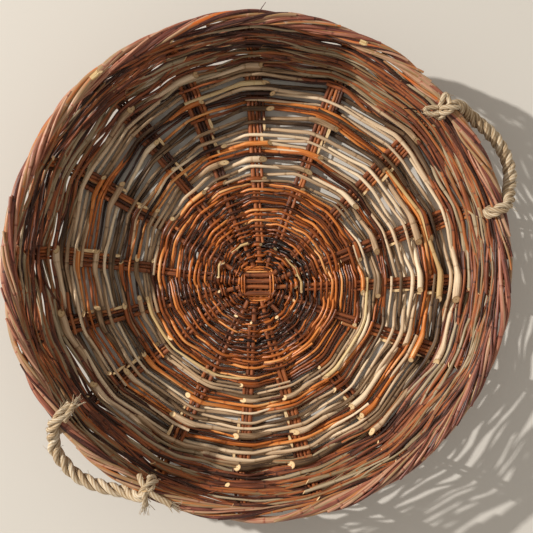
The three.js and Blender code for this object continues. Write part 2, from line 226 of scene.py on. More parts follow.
class Arm:
    """One of the sixteen arms, numbered clockwise from the upper left."""

    def __init__(self, number):
        side, place = divmod(number, STICKS_PER_SIDE)
        across = (place - (STICKS_PER_SIDE - 1) / 2) * STICK_PITCH
        self.start = cross_centre + quarter_turned(np.array([across, FAN_START]), side)
        bearing = math.radians(ARM_BEARINGS[number])
        ray = np.array([math.sin(bearing), math.cos(bearing)])
        offset = cross_centre - RIM_CENTRE
        along = ray @ offset
        reach = -along + math.sqrt(along * along + FLOOR_EDGE**2 - offset @ offset)
        run = cross_centre + ray * reach - self.start
        self.length = np.linalg.norm(run)
        self.ahead = run / self.length
        self.right = np.array([self.ahead[1], -self.ahead[0]])
        self.sink = -CROSS_LEVEL if side % 2 == 0 else CROSS_LEVEL
        middle_stake = self.stake_place((STAKE_RODS - 1) / 2)
        foot = self.start + self.ahead * self.length + self.right * middle_stake
        self.foot_angle = math.atan2(*(foot - RIM_CENTRE)[::-1])
        to_eye = nearest_eye(self.foot_angle + STAKE_LEAN)
        self.lean = STAKE_LEAN - math.copysign(max(EYE_ROOM - abs(to_eye), 0), to_eye)
        self.phases = [
            2 * math.pi * turns * number / ARMS + arm_dice.uniform(0, 1) for _, _, turns in BUNCHES
        ]

    def stake_place(self, k):
        return STICK_WIDTH / 2 + STAKE_ROD * (k + 0.5)

    def half_widths(self, distance):
        """How far the arm reaches to its left and right, seen from the crossing."""
        rods = sum(distance > join for join in STAKE_JOINS)
        return STICK_WIDTH / 2, STICK_WIDTH / 2 + STAKE_ROD * rods

    def level(self, distance):
        return self.sink * max(0.0, 1 - distance / LEVEL_RUN)

    def bunched(self, way):
        """The way of a row on this arm, where rows crowd together and leave gaps elsewhere."""
        share = np.interp(way, BUNCH_WAYS, BUNCH_SHARES)
        shift = 0.0
        for (size, run, _), phase in zip(BUNCHES, self.phases):
            shift += size * math.sin(2 * math.pi * way / run + phase)
        return way + share * shift

    def crossing(self, way):
        """Angles of the arm's left and right edge on a row, and the distance along the arm."""
        if way > FLOOR_EDGE:
            climb = (way - FLOOR_EDGE) / (STAKE_TOP - FLOOR_EDGE)
            middle = self.foot_angle + self.lean * climb
            point, _, _ = surface(way, middle)
            half = STAKE_RODS * STAKE_ROD / 2 / np.linalg.norm(point[:2] - RIM_CENTRE)
            return middle + half, middle - half, self.length
        offset = self.start - row_centre(way)
        along = offset @ self.ahead
        distance = -along + math.sqrt(along * along - offset @ offset + way * way)
        middle = math.atan2(*(offset + self.ahead * distance)[::-1])
        left, right = self.half_widths(distance)
        return middle + left / way, middle - right / way, distance


arms = [Arm(number) for number in range(ARMS)]
arm_lengths = [round(float(arm.length), 3) for arm in arms]
print(ARMS, "arms of", min(arm_lengths), "m to", max(arm_lengths), "m")

# %% [markdown]
# A rod is a list of corners, each with a thickness. Cutting every corner off twice, at a
# quarter and three quarters of each side, turns the corners into an even curve that keeps its
# straight stretches, as willow does when it is bent round a stake. The Rod class also carries
# what the finish needs: a tone for its bark, a seed, and how its two ends are cut. A slanted
# cut needs a stretch without points, or the cut would pass through the rod's own rings. A rod
# may wander off its line and swells a little here and there, but never sinks into the ground.

# %% Rods as paths
dice = np.random.default_rng(11)
WANDER_WAVES = ((0.31, 0.9), (0.13, 0.55), (0.055, 0.4))
WANDER_UPWARDS = 0.4
SWELL = 0.05
SWELLS_PER_METRE = 90
CUT_ROOM = 0.52


def corners_cut(values, rounds=2):
    """Chaikin's corner cutting on an open line of values, with both ends kept."""
    for _ in range(rounds):
        first = values[:-1] * 0.75 + values[1:] * 0.25
        second = values[:-1] * 0.25 + values[1:] * 0.75
        inner = np.stack([first, second], axis=1).reshape(-1, values.shape[1])
        values = np.vstack([values[:1], inner, values[-1:]])
    return values


class Rod:
    """A rod's points, radii and lengths from its start, and what its finish reads."""

    def __init__(self, points, thickness, tone, start_cut=None, end_cut=None, rounds=2, wobble=0.0):
        line = np.column_stack([np.array(points), np.broadcast_to(thickness, len(points))])
        line = corners_cut(line, rounds)
        steps = np.linalg.norm(np.diff(line[:, :3], axis=0), axis=1)
        along = np.append(0, np.cumsum(steps))
        keep = np.ones(len(along), dtype=bool)
        ends = ((start_cut, along, line[0, 3]), (end_cut, along[-1] - along, line[-1, 3]))
        for cut, away, size in ends:
            if cut is not None:
                keep &= (away == 0) | (away > np.linalg.norm(cut) * size * CUT_ROOM)
        self.points = line[keep, :3]
        self.radius = line[keep, 3] / 2
        self.along = along[keep]
        self.tone = tone
        self.seed = dice.uniform(0, 100)
        self.cuts = (start_cut, end_cut)
        if wobble:
            self.points += self.wander(wobble)
        self.radius = self.radius * (1 + SWELL * np.sin(self.along * SWELLS_PER_METRE + self.seed))
        self.points[:, 2] = np.maximum(self.points[:, 2], self.radius)

    def wander(self, amount):
        """A smooth drift off the ideal line, different for each rod."""
        drift = np.zeros_like(self.points)
        for reach, share in WANDER_WAVES:
            phase = dice.uniform(0, 2 * math.pi, 3)
            drift += amount * share * np.sin(2 * math.pi * self.along[:, None] / reach + phase)
        drift[:, 2] *= WANDER_UPWARDS
        return drift


print("corner cutting makes", len(corners_cut(np.zeros((4, 3)))), "points of 4")

# %% [markdown]
# Nodes for shapes and nodes for finishes are added by the same method. It takes a node's type,
# its settings, which come first because they decide which sockets it has, and then a value or
# a link for each socket, given by its name or, where names repeat, by its number.

# %% Adding nodes
class TreeKit:
    """Adds nodes to one tree."""

    def __init__(self, tree):
        self.tree = tree

    def node(self, kind, settings=None, **inputs):
        made = self.tree.nodes.new(kind)
        for name, value in (settings or {}).items():
            if name == "stops":
                self.set_stops(made.color_ramp.elements, value)
            else:
                setattr(made, name, value)
        for name, value in inputs.items():
            self.feed(self.input_of(made, name), value)
        return made

    def feed(self, socket, value):
        source = getattr(value, "socket", value)
        if isinstance(source, bpy.types.NodeSocket):
            self.tree.links.new(source, socket)
        else:
            socket.default_value = source

    @staticmethod
    def input_of(made, name):
        if name.startswith("input") and name[5:].isdigit():
            return made.inputs[int(name[5:])]
        wanted = name.replace("_", " ").lower()
        return next(s for s in made.inputs if s.name.lower() == wanted and s.enabled)

    @staticmethod
    def set_stops(elements, stops):
        while len(elements) < len(stops):
            elements.new(0.5)
        for element, (place, colour) in zip(elements, stops):
            element.position = place
            element.color = srgb(*colour)


def srgb(red, green, blue):
    """A colour of 0 to 255 as seen on screen, in Blender's linear numbers."""
    shares = [c / 255 for c in (red, green, blue)]
    linear = [c / 12.92 if c <= 0.04045 else ((c + 0.055) / 1.055) ** 2.4 for c in shares]
    return (*linear, 1.0)


print("one colour in linear numbers:", [round(c, 3) for c in srgb(150, 90, 50)])

# %% [markdown]
# The tree for all rods reads the paths as a mesh of loose edges. Mesh to Curve makes splines
# of them, and Curve to Mesh sweeps a circle along with each point's own thickness. The ends
# are closed, then tilted by moving their rings along the rod, which gives the slanted cuts.
# Only the caps have more than four corners, so that is how the tree finds them to give them
# the pale wood. The circle's own place is stored, so that the bark's grain can wrap each rod.

# %% Geometry Nodes tree for rods
CORNERS_OF_A_SIDE = 4


def rod_tree():
    tree = bpy.data.node_groups.new("willow_rods", "GeometryNodeTree")
    face = tree.interface
    face.new_socket("Paths", in_out="INPUT", socket_type="NodeSocketGeometry")
    face.new_socket("Sides", in_out="INPUT", socket_type="NodeSocketInt").default_value = 8
    face.new_socket("Bark", in_out="INPUT", socket_type="NodeSocketMaterial")
    face.new_socket("Cut wood", in_out="INPUT", socket_type="NodeSocketMaterial")
    face.new_socket("Rods", in_out="OUTPUT", socket_type="NodeSocketGeometry")
    kit = TreeKit(tree)
    given = kit.node("NodeGroupInput").outputs

    def stored(name, kind="FLOAT_VECTOR"):
        made = kit.node("GeometryNodeInputNamedAttribute", {"data_type": kind}, name=name)
        return next(s for s in made.outputs if s.name == "Attribute" and s.enabled)

    def vector_maths(operation, **inputs):
        return kit.node("ShaderNodeVectorMath", {"operation": operation}, **inputs).outputs

    lines = kit.node("GeometryNodeMeshToCurve", mesh=given["Paths"])
    circle = kit.node("GeometryNodeCurvePrimitiveCircle", {"mode": "RADIUS"},
                      resolution=given["Sides"], radius=1.0)
    place = kit.node("GeometryNodeInputPosition").outputs[0]
    profile = kit.node("GeometryNodeStoreNamedAttribute",
                       {"data_type": "FLOAT_VECTOR", "domain": "POINT"},
                       geometry=circle.outputs["Curve"], name="round", value=place)
    swept = kit.node("GeometryNodeCurveToMesh", curve=lines.outputs[0],
                     profile_curve=profile.outputs[0], scale=stored("thickness", "FLOAT"),
                     fill_caps=True)

    offset = vector_maths("SUBTRACT", input0=place, input1=stored("centre"))[0]
    lean = vector_maths("DOT_PRODUCT", input0=offset, input1=stored("cut_tilt"))["Value"]
    shift = vector_maths("SCALE", input0=stored("cut_along"), scale=lean)[0]
    cut = kit.node("GeometryNodeSetPosition", geometry=swept.outputs[0], offset=shift)

    corners = kit.node("GeometryNodeInputMeshFaceNeighbors").outputs["Vertex Count"]
    is_cap = kit.node("FunctionNodeCompare", {"data_type": "INT", "operation": "GREATER_THAN"},
                      a=corners, b=CORNERS_OF_A_SIDE).outputs[0]
    is_side = kit.node("FunctionNodeBooleanMath", {"operation": "NOT"}, input0=is_cap).outputs[0]
    smooth = kit.node("GeometryNodeSetShadeSmooth", {"domain": "FACE"},
                      geometry=cut.outputs[0], shade_smooth=is_side)
    real = kit.node("GeometryNodeRealizeInstances", geometry=smooth.outputs[0])
    barked = kit.node("GeometryNodeSetMaterial", geometry=real.outputs[0], material=given["Bark"])
    ended = kit.node("GeometryNodeSetMaterial", geometry=barked.outputs[0], selection=is_cap,
                     material=given["Cut wood"])
    kit.node("NodeGroupOutput", rods=ended.outputs[0])
    return tree


ROD_TREE = rod_tree()
print("rod tree has", len(ROD_TREE.nodes), "nodes")

# %% [markdown]
# A piece of the basket is one mesh of many rods. Its paths go in as loose edges, one chain for
# each rod, with their numbers stored on the points. Named attributes are how a tree, and later
# a material, reads a value that differs from point to point.

# %% Paths as a mesh
TREE_ATTRIBUTES = ("centre", "cut_tilt", "cut_along")


def path_mesh(name, rods):
    """A mesh of loose edges, one chain for each rod, with the attributes that the tree reads."""
    mesh = bpy.data.meshes.new(name)
    points = np.vstack([rod.points for rod in rods])
    tilt = np.zeros_like(points)
    ahead = np.zeros_like(points)
    edges = []
    first = 0
    for rod in rods:
        last = first + len(rod.points) - 1
        edges += [(k, k + 1) for k in range(first, last)]
        for facing, here, inner in ((rod.cuts[0], first, first + 1), (rod.cuts[1], last, last - 1)):
            ahead[here] = unit(points[inner] - points[here])
            if facing is not None:
                tilt[here] = facing
        first = last + 1
    mesh.from_pydata(points.tolist(), edges, [])
    numbers = {
        "thickness": np.concatenate([rod.radius for rod in rods]),
        "along": np.concatenate([rod.along for rod in rods]),
        "tone": np.concatenate([np.full(len(rod.points), rod.tone) for rod in rods]),
        "seed": np.concatenate([np.full(len(rod.points), rod.seed) for rod in rods]),
    }
    for key, values in numbers.items():
        made = mesh.attributes.new(key, "FLOAT", "POINT")
        made.data.foreach_set("value", values.astype(np.float32))
    for key, values in zip(TREE_ATTRIBUTES, (points, tilt, ahead)):
        made = mesh.attributes.new(key, "FLOAT_VECTOR", "POINT")
        made.data.foreach_set("vector", values.astype(np.float32).ravel())
    return mesh


print("attributes for the tree alone:", ", ".join(TREE_ATTRIBUTES))

# %% [markdown]
# The tree runs once over a piece's paths, and its result is kept as a plain mesh, which is what
# can be exported. What only the tree needed is deleted, and what the bark reads stays: tone,
# seed, thickness and length. Then the piece rides on its body and stands for its CAD nodes.

# %% Rods to a finished piece
def woven(name, rods, bark, nodes, sides=8, body="basket"):
    """Runs the rod tree over the paths and lets the result stand for the CAD nodes."""
    piece = bpy.data.objects.new(name, path_mesh(name, rods))
    bpy.context.scene.collection.objects.link(piece)
    modifier = piece.modifiers.new("rods", "NODES")
    modifier.node_group = ROD_TREE
    values = {"Sides": sides, "Bark": bark, "Cut wood": cut_wood}
    for socket in ROD_TREE.interface.items_tree:
        if socket.name in values:
            modifier[socket.identifier] = values[socket.name]
    graph = bpy.context.evaluated_depsgraph_get()
    mesh = bpy.data.meshes.new_from_object(piece.evaluated_get(graph))
    piece.modifiers.remove(modifier)
    piece.data = mesh
    for helper in TREE_ATTRIBUTES:
        mesh.attributes.remove(mesh.attributes[helper])
    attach(piece, body)
    if nodes:
        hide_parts(*nodes)
    triangles = sum(len(p.vertices) - 2 for p in mesh.polygons)
    print(name, "has", len(rods), "rods and", triangles, "triangles")


def numbered(name, count):
    """The names of a run of CAD nodes."""
    return [f"{name}_{k + 1:02d}" for k in range(count)]


print("nodes of the wall:", numbered("wall_row", 5))

# %% [markdown]
# Willow bark is thin and a little glossy. Each rod has its own tone, darker or paler stretches
# along it, fine grain that runs its length, and small pale pores. Seen from close up it is the
# grain that tells willow from plastic, so the grain goes into colour, roughness and bump. Such
# mixes take many Math nodes. The class below wraps a socket, and lets Python's own operators
# add those nodes, so that a finish can be read as a few lines of arithmetic.

# %% Operators for sockets
class Wire:
    """A socket of a material's tree that adds Math nodes when Python's operators meet it."""

    def __init__(self, shader, socket):
        self.shader = shader
        self.socket = socket

    def maths(self, operation, *values):
        return self.shader.maths(operation, *values)

    def __add__(self, other):
        return self.maths("ADD", self, other)

    def __sub__(self, other):
        return self.maths("SUBTRACT", self, other)

    def __rsub__(self, other):
        return self.maths("SUBTRACT", other, self)

    def __mul__(self, other):
        return self.maths("MULTIPLY", self, other)

    def __truediv__(self, other):
        return self.maths("DIVIDE", self, other)

    def __rtruediv__(self, other):
        return self.maths("DIVIDE", other, self)

    __radd__ = __add__
    __rmul__ = __mul__


print("reflected operators:", [name for name in vars(Wire) if name.startswith("__r")])

# %% [markdown]
# A finish starts as a new material with its Principled BSDF. Plain values go straight to the
# shader's own sockets. The nodes that vary over a rod come from a few short methods, one for
# each kind that willow and rope need.

# %% Materials
class Shader(TreeKit):
    """A material whose nodes are added by name, and its Principled BSDF."""

    def __init__(self, name, **plain):
        self.material = bpy.data.materials.new(name)
        self.material.use_nodes = True
        super().__init__(self.material.node_tree)
        self.bsdf = self.tree.nodes["Principled BSDF"]
        self.finish(**plain)

    def finish(self, **inputs):
        """Values or links for sockets of the Principled BSDF."""
        for name, value in inputs.items():
            self.feed(self.input_of(self.bsdf, name), value)

    def wire(self, kind, settings=None, output=0, **inputs):
        return Wire(self, self.node(kind, settings, **inputs).outputs[output])

    def maths(self, operation, *values):
        inputs = {f"input{k}": value for k, value in enumerate(values)}
        return self.wire("ShaderNodeMath", {"operation": operation}, **inputs)

    def attribute(self, name, output="Fac"):
        return self.wire("ShaderNodeAttribute", {"attribute_name": name}, output)

    def section(self):
        """Where a place lies on its rod's round section, in shares of the radius."""
        place = self.attribute("round", "Vector")
        across, upright, _ = self.node("ShaderNodeSeparateXYZ", vector=place).outputs
        return Wire(self, across), Wire(self, upright)

    def clamped(self, value):
        return self.wire("ShaderNodeClamp", value=value)

    def noise(self, place, scale, detail=2.0, roughness=0.5):
        return self.wire("ShaderNodeTexNoise", vector=place, scale=scale, detail=detail,
                         roughness=roughness)

    def ramp(self, value, stops):
        return self.wire("ShaderNodeValToRGB", {"stops": stops}, input0=value)

    def mixed(self, amount, first, second):
        """A mix of two colours, whose sockets come after the Mix node's numbers and vectors."""
        return self.wire("ShaderNodeMix", {"data_type": "RGBA"}, 2, input0=amount, input6=first,
                         input7=second)

    def bump(self, height, distance, strength):
        made = self.node("ShaderNodeBump", height=height, distance=distance, strength=strength)
        self.finish(normal=made.outputs[0])


print("methods of a material:", [name for name in vars(Shader) if not name.startswith("_")])

# %% [markdown]
# The grain's coordinates are a rod's own: its length, squeezed so that noise becomes streaks,
# and its round section, so that the pattern wraps the rod and never slides when a handle
# turns. Four noises at different scales stand for the patches, streaks, grain and pores of the
# bark. A faint ring comes every few centimetres, where a leaf sat.

# %% Bark
PATCH_STRETCH, PATCH_SCALE = 6.0, 55
STREAK_STRETCH, STREAK_SCALE = 16.0, 420
GRAIN_STRETCH, GRAIN_SCALE = 30.0, 1100
PORE_STRETCH, PORE_SCALE = 1.6, 900
PATCH_TONE, STREAK_TONE, GRAIN_TONE = 0.6, 0.8, 0.5
PORE_LIMIT, PORE_PALENESS = 0.72, 0.35
WORN_LIMIT, WORN_SHARPNESS = 0.56, 5
LEAF_RINGS_PER_METRE = 17
LEAF_RING_SHARPNESS, LEAF_RING_DARKNESS = 16, 0.5
ROUGHNESS_SPREAD = 0.3
STREAK_HEIGHT, PATCH_HEIGHT = 0.6, 0.5
WORN_BARK = srgb(150, 132, 116)
PORE_COLOUR = srgb(205, 178, 140)


def grain_place(shader, stretch):
    """Coordinates of a rod's own: along it, squeezed by stretch, and across its section."""
    across, upright = shader.section()
    radius = shader.attribute("thickness")
    length = shader.attribute("along") / stretch + shader.attribute("seed")
    return shader.wire("ShaderNodeCombineXYZ", x=length, y=across * radius, z=upright * radius)


def bark(name, stops, roughness, weathered, gloss):
    """Bark whose ramp runs from the darkest tone of a rod to the palest."""
    shader = Shader(name, specular_ior_level=0.22, coat_weight=gloss, coat_roughness=0.22)
    patches = shader.noise(grain_place(shader, PATCH_STRETCH), PATCH_SCALE, detail=3.0)
    streaks = shader.noise(grain_place(shader, STREAK_STRETCH), STREAK_SCALE)
    grain = shader.noise(grain_place(shader, GRAIN_STRETCH), GRAIN_SCALE, detail=3.0, roughness=0.6)
    speckle = shader.noise(grain_place(shader, PORE_STRETCH), PORE_SCALE, detail=1.0)
    pores = shader.maths("GREATER_THAN", speckle, PORE_LIMIT)
    ring_place = shader.attribute("along") * LEAF_RINGS_PER_METRE + shader.attribute("seed")
    ring = 1 - shader.clamped(shader.maths("FRACT", ring_place) * LEAF_RING_SHARPNESS)
    tone = shader.attribute("tone")
    for noise, share in ((patches, PATCH_TONE), (streaks, STREAK_TONE), (grain, GRAIN_TONE)):
        tone += (noise - 0.5) * share
    colour = shader.ramp(shader.clamped(tone - ring * patches * LEAF_RING_DARKNESS), stops)
    worn = shader.clamped((patches - WORN_LIMIT) * WORN_SHARPNESS) * weathered
    colour = shader.mixed(worn, colour, WORN_BARK)
    colour = shader.mixed(pores * PORE_PALENESS, colour, PORE_COLOUR)
    rough = roughness + (grain - 0.5 + worn) * ROUGHNESS_SPREAD
    shader.finish(base_color=colour, roughness=rough)
    height = grain + streaks * STREAK_HEIGHT + patches * PATCH_HEIGHT
    shader.bump(height, distance=0.0006, strength=0.7)
    return shader.material


print("rings of a rod are", round(1 / LEAF_RINGS_PER_METRE, 3), "m apart")

# %% [markdown]
# Six kinds of rod differ in colour. A ramp holds the colours of one kind, from the darkest tone
# to the palest, and a rod's tone picks the part of the ramp that it shows. That way the rods of
# one material range from nearly black through orange to straw, as a bundle of willow does.

# %% Kinds of bark
stick_bark = bark("dark_stick_bark", [
    (0.0, (48, 28, 22)), (0.3, (92, 52, 34)), (0.55, (146, 82, 48)), (0.8, (182, 108, 58)),
    (1.0, (196, 146, 96)),
], roughness=0.5, weathered=0.2, gloss=0.06)
brown_bark = bark("orange_brown_bark", [
    (0.0, (30, 17, 13)), (0.28, (86, 44, 24)), (0.55, (166, 88, 38)), (0.8, (218, 130, 60)),
    (1.0, (234, 182, 120)),
], roughness=0.34, weathered=0.12, gloss=0.2)
tan_bark = bark("grey_tan_bark", [
    (0.0, (62, 44, 32)), (0.25, (116, 90, 64)), (0.5, (182, 150, 116)), (0.8, (222, 194, 160)),
    (1.0, (238, 214, 180)),
], roughness=0.5, weathered=0.2, gloss=0.06)
wall_bark = bark("mixed_wall_bark", [
    (0.0, (50, 30, 22)), (0.2, (90, 52, 40)), (0.38, (140, 80, 54)), (0.55, (176, 100, 52)),
    (0.72, (134, 112, 80)), (1.0, (182, 162, 132)),
], roughness=0.42, weathered=0.2, gloss=0.1)
border_bark = bark("pinkish_border_bark", [
    (0.0, (66, 38, 32)), (0.2, (128, 72, 58)), (0.4, (166, 106, 82)), (0.55, (194, 148, 120)),
    (0.7, (150, 126, 90)), (0.85, (182, 114, 66)), (1.0, (196, 100, 40)),
], roughness=0.4, weathered=0.25, gloss=0.12)
peeled_willow = bark("peeled_willow", [
    (0.0, (150, 110, 66)), (0.5, (206, 172, 118)), (1.0, (232, 208, 160)),
], roughness=0.5, weathered=0.15, gloss=0.1)
barks = (stick_bark, brown_bark, tan_bark, wall_bark, border_bark, peeled_willow)
print("barks:", [made.name for made in barks])

# %% [markdown]
# Where a rod is cut, it shows pale wood round a small brown pith, with a dark rim of bark. The
# cap is one flat face, so its colour comes from how far a place is from the rod's middle.

# %% Cut wood
WOOD_GRAIN_SCALE = 4.0
WOOD_UNEVENNESS = 0.25


def wood(name):
    shader = Shader(name, roughness=0.75)
    place = shader.attribute("round", "Vector")
    out = shader.wire("ShaderNodeVectorMath", {"operation": "LENGTH"}, "Value", input0=place)
    rough = shader.noise(place, WOOD_GRAIN_SCALE, detail=3.0)
    ring_place = shader.clamped(out + (rough - 0.5) * WOOD_UNEVENNESS)
    shader.finish(base_color=shader.ramp(ring_place, [
        (0.0, (150, 100, 56)), (0.12, (198, 152, 100)), (0.24, (234, 206, 160)),
        (0.75, (226, 192, 140)), (1.0, (132, 84, 52)),
    ]))
    return shader.material


cut_wood = wood("cut_willow")
print("cut wood has", len(cut_wood.node_tree.nodes), "nodes")

# %% [markdown]
# The base sticks are straight lengths of thick willow. The four across lie on the four down,
# so near the crossing each pair of arms sits above or below the floor's level. Every stick is
# one rod from the end of one arm, through the square, to the end of the arm across from it.
# The floor's height at a place depends on the way from the rows' middle, which itself shifts
# with that way, so a few rounds settle the two.

# %% Base sticks
STICK_STOPS = (LEVEL_RUN, 0.06, 0.12)
STICK_LAST_RUN = 0.02
STICK_SIZES = (0.82, 0.98)
STICK_TONES = (0.4, 0.62)
CENTRE_ROUNDS = 4


def floor_point(plan, rise=0.0):
    """A point over the floor at a place in plan."""
    way = min(np.linalg.norm(plan - cross_centre), FLOOR_EDGE)
    for _ in range(CENTRE_ROUNDS):
        way = min(np.linalg.norm(plan - row_centre(way)), FLOOR_EDGE)
    return np.append(plan, dome_height(way) + rise)


def half_stick(arm):
    places = (0, *STICK_STOPS, arm.length - STICK_LAST_RUN, arm.length)
    return [floor_point(arm.start + arm.ahead * d, arm.level(d)) for d in places]


stick_rods = []
for k in range(STICKS_PER_SIDE):
    for side in (0, 1):
        arm = arms[STICKS_PER_SIDE * side + k]
        facing = arms[STICKS_PER_SIDE * (side + 3) - 1 - k]
        line = half_stick(facing)[::-1] + half_stick(arm)
        thickness = STICK_WIDTH * dice.uniform(*STICK_SIZES)
        stick_rods.append(Rod(line, thickness, dice.uniform(*STICK_TONES), wobble=0.0004))
stick_nodes = numbered("base_stick_across", STICKS_PER_SIDE)
stick_nodes += numbered("base_stick_down", STICKS_PER_SIDE)
woven("base_sticks", stick_rods, stick_bark, stick_nodes, sides=12)

# %% [markdown]
# The side stakes are thinner rods pushed in beside each stick. They have long slanted points,
# which show as pale slivers where no row covers them. They turn up at the floor's edge and run
# up the wall into the border.

# %% Side stakes
STAKE_TONES = (0.12, 0.3, 0.45, 0.55, 0.64, 0.72)
STAKE_SIZES = (0.8, 1.08)
STAKE_SLOPES = (4.0, 8.0)
HIDDEN_STARTS = 2
START_SCATTER = 0.008
STAKE_LIFT = 0.0034
STAKE_SETTLE = 0.03
FLOOR_END_ROOM = 0.012
WALL_STOPS = np.linspace(FLOOR_EDGE + 0.008, STAKE_TOP + 0.008, 9)


def stake_rods(arm):
    made = []
    for k, join in enumerate(STAKE_JOINS):
        start = join + dice.uniform(-START_SCATTER, START_SCATTER)
        settled, halfway = start + STAKE_SETTLE, (start + arm.length) / 2
        side = arm.stake_place(k)
        thickness = STAKE_ROD * dice.uniform(*STAKE_SIZES)
        line = []
        for d in (start, settled, halfway, arm.length - FLOOR_END_ROOM):
            lift = STAKE_LIFT if d == start else 0
            line.append(floor_point(arm.start + arm.ahead * d + arm.right * side, lift))
        for way in WALL_STOPS:
            left, right, _ = arm.crossing(way)
            angle = left + (right - left) * (k + 0.5) / STAKE_RODS
            line.append(surface(way, angle)[0])
        cut = UP * dice.uniform(*STAKE_SLOPES) if k >= HIDDEN_STARTS else None
        made.append(Rod(line, thickness, dice.choice(STAKE_TONES), start_cut=cut, wobble=0.0006))
    return made


all_stakes = [rod for arm in arms for rod in stake_rods(arm)]
woven("side_stakes", all_stakes, stick_bark, numbered("side_stakes", ARMS))

# %% [markdown]
# Weaving. A rod of the floor or the wall takes the arms one after another, over one and under
# the next. For each arm it gets two corners, at the arm's edges, on the inner or the outer
# side of the surface. Between two arms it gets three more: two close to the arms, which keep its
# bends short, and one in the middle, which lets it sag. Its thick butt is cut off at a slant on
# the arm that it starts from.

# %% Weaving rods
BEND_RUN, BEND_SHARE = 0.011, 1 / 3
EDGE_ROOM = 0.0008
FLARE_STROKES = 1.6
BUTT_PLACES = (-0.5, 0.35)
CUT_SLOPES, CUT_TILT = (0.9, 1.8), 0.3
SAG_SHARES = (0.3, 1.3)


def weaving_rod(first, strokes, way_out, way_in, butt, tip, tone, over_first=True, lying=False,
                wobble=0.0006, sag=0.0, scatter=0.0005, flare=0.2):
    """A rod that starts on arm `first` and runs anticlockwise over `strokes` gaps."""
    line = []
    thickness = []
    for stroke in range(strokes + 1):
        arm = arms[(first - stroke) % ARMS]
        share = stroke / strokes
        way = arm.bunched(way_out + (way_in - way_out) * share) + dice.normal(0, scatter)
        left, right, distance = arm.crossing(way)
        size = butt + (tip - butt) * math.sqrt(share)
        size *= 1 + flare * max(0.0, 1 - stroke / FLARE_STROKES)
        over = lying or (stroke % 2 == 0) == over_first
        half = STICK_THICKNESS / 2 if way < FLOOR_EDGE else STAKE_ROD / 2
        height = (half + size / 2) * (1 if over else -1) + arm.level(distance)
        edge = EDGE_ROOM / way
        stops = [right - edge, left + edge]
        if stroke == 0:
            stops[0] = right + (left - right) * dice.uniform(*BUTT_PLACES)
        ends = []
        for angle in stops:
            point, outwards, inside = surface(way, angle)
            ends.append(point + inside * height)
        if line:
            span = ends[0] - line[-1]
            near = min(BEND_RUN / np.linalg.norm(span), BEND_SHARE)
            middle = line[-1] + span / 2 - outwards * sag * dice.uniform(*SAG_SHARES)
            line += [line[-1] + span * near, middle, ends[0] - span * near]
            thickness += [size] * 3
        line += ends
        thickness += [size] * 2
    facing = surface(way_out, arms[first % ARMS].crossing(way_out)[0])[2]
    start_cut = unit(facing + dice.normal(0, CUT_TILT, 3)) * dice.uniform(*CUT_SLOPES)
    return Rod(line, thickness, tone, start_cut=start_cut, wobble=wobble)


sample = weaving_rod(0, 3, 0.2, 0.18, 0.005, 0.004, 0.5)
print("a rod has", len(sample.points), "points in three strokes")

# %% [markdown]
# In French randing one rod starts at every arm and all are woven on together, so between two
# arms as many rods lie side by side as a rod has strokes, and each rod creeps inwards from its
# butt to its tip. A set's numbers are its inner and outer way, the strokes of a rod, and the
# thickness of butt and tip. Most butts lie on top of their arm, where they show.

# %% Sets of weaving rods
SHOWN_BUTTS = 0.78
LONG_RODS = 4
SET_SIZES = (0.85, 1.15)
TONE_SCATTER = 0.05
PITCH_SCATTER = 0.15


def rand_set(ring, tones, shown=SHOWN_BUTTS, **choices):
    """One rod from every arm, all alike but for their tone and the small chances of the weave."""
    way_in, way_out, strokes, butt, tip = ring
    pitch = (way_out - way_in) / strokes
    made = []
    for first in range(ARMS):
        size = dice.uniform(*SET_SIZES)
        tone = dice.choice(tones) + dice.normal(0, TONE_SCATTER)
        start = way_out - pitch / 2 + dice.normal(0, pitch * PITCH_SCATTER)
        over = dice.random() < shown
        length = strokes + dice.integers(0, 2) if strokes > LONG_RODS else strokes
        tip_way = start - pitch * length
        made.append(weaving_rod(first, length, start, tip_way, butt * size, tip * size, tone, over,
                                **choices))
    return made


print("a set has a rod for each of", ARMS, "arms")

# %% [markdown]
# Round the square of sticks the real basket has a small frame of thin orange rods, straight
# along each side. They lie over the sticks of one direction and under those of the other, and
# the rounds take turns. The rods follow square corners here, which the corner cutting softens,
# and a fifth side takes each rod a little past its own start.

# %% Frame of thin rods round the square
SQUARE_ROD = 0.0021
SQUARE_ROUNDS = 5
SQUARE_START = 0.3
SQUARE_STEP = 0.72
SQUARE_OVERLAP = 0.2
SQUARE_SIZES = (0.85, 1.1)
SQUARE_TONES = (0.55, 0.85)


def square_row(step):
    """A thin rod round the crossing, over one set of sticks and under the other."""
    reach = SQUARE_HALF + SQUARE_ROD * (SQUARE_START + SQUARE_STEP * step)
    over_down = step % 2 == 0
    line = []
    for side in range(5):
        down = side % 2 == 0
        level = -CROSS_LEVEL if down else CROSS_LEVEL
        level += (STICK_THICKNESS / 2 + SQUARE_ROD / 2) * (1 if over_down == down else -1)
        for place in (-1, 1 if side < 4 else SQUARE_OVERLAP):
            plan = cross_centre + quarter_turned(np.array([place * SQUARE_HALF, reach]), side)
            line.append(floor_point(plan, level))
    size = SQUARE_ROD * dice.uniform(*SQUARE_SIZES)
    return Rod(line, size, dice.uniform(*SQUARE_TONES), wobble=0.0004)


frame_rods = [square_row(step) for step in range(SQUARE_ROUNDS)]
print(len(frame_rods), "rods round the square")

# %% [markdown]
# The floor is woven in rings of different willow. In the middle the rods are fine and brown, and
# lie so close that hardly any ground shows. Four sets follow each other there, and each also
# says how far its rods sag and wander, and what share of them shows its butt.

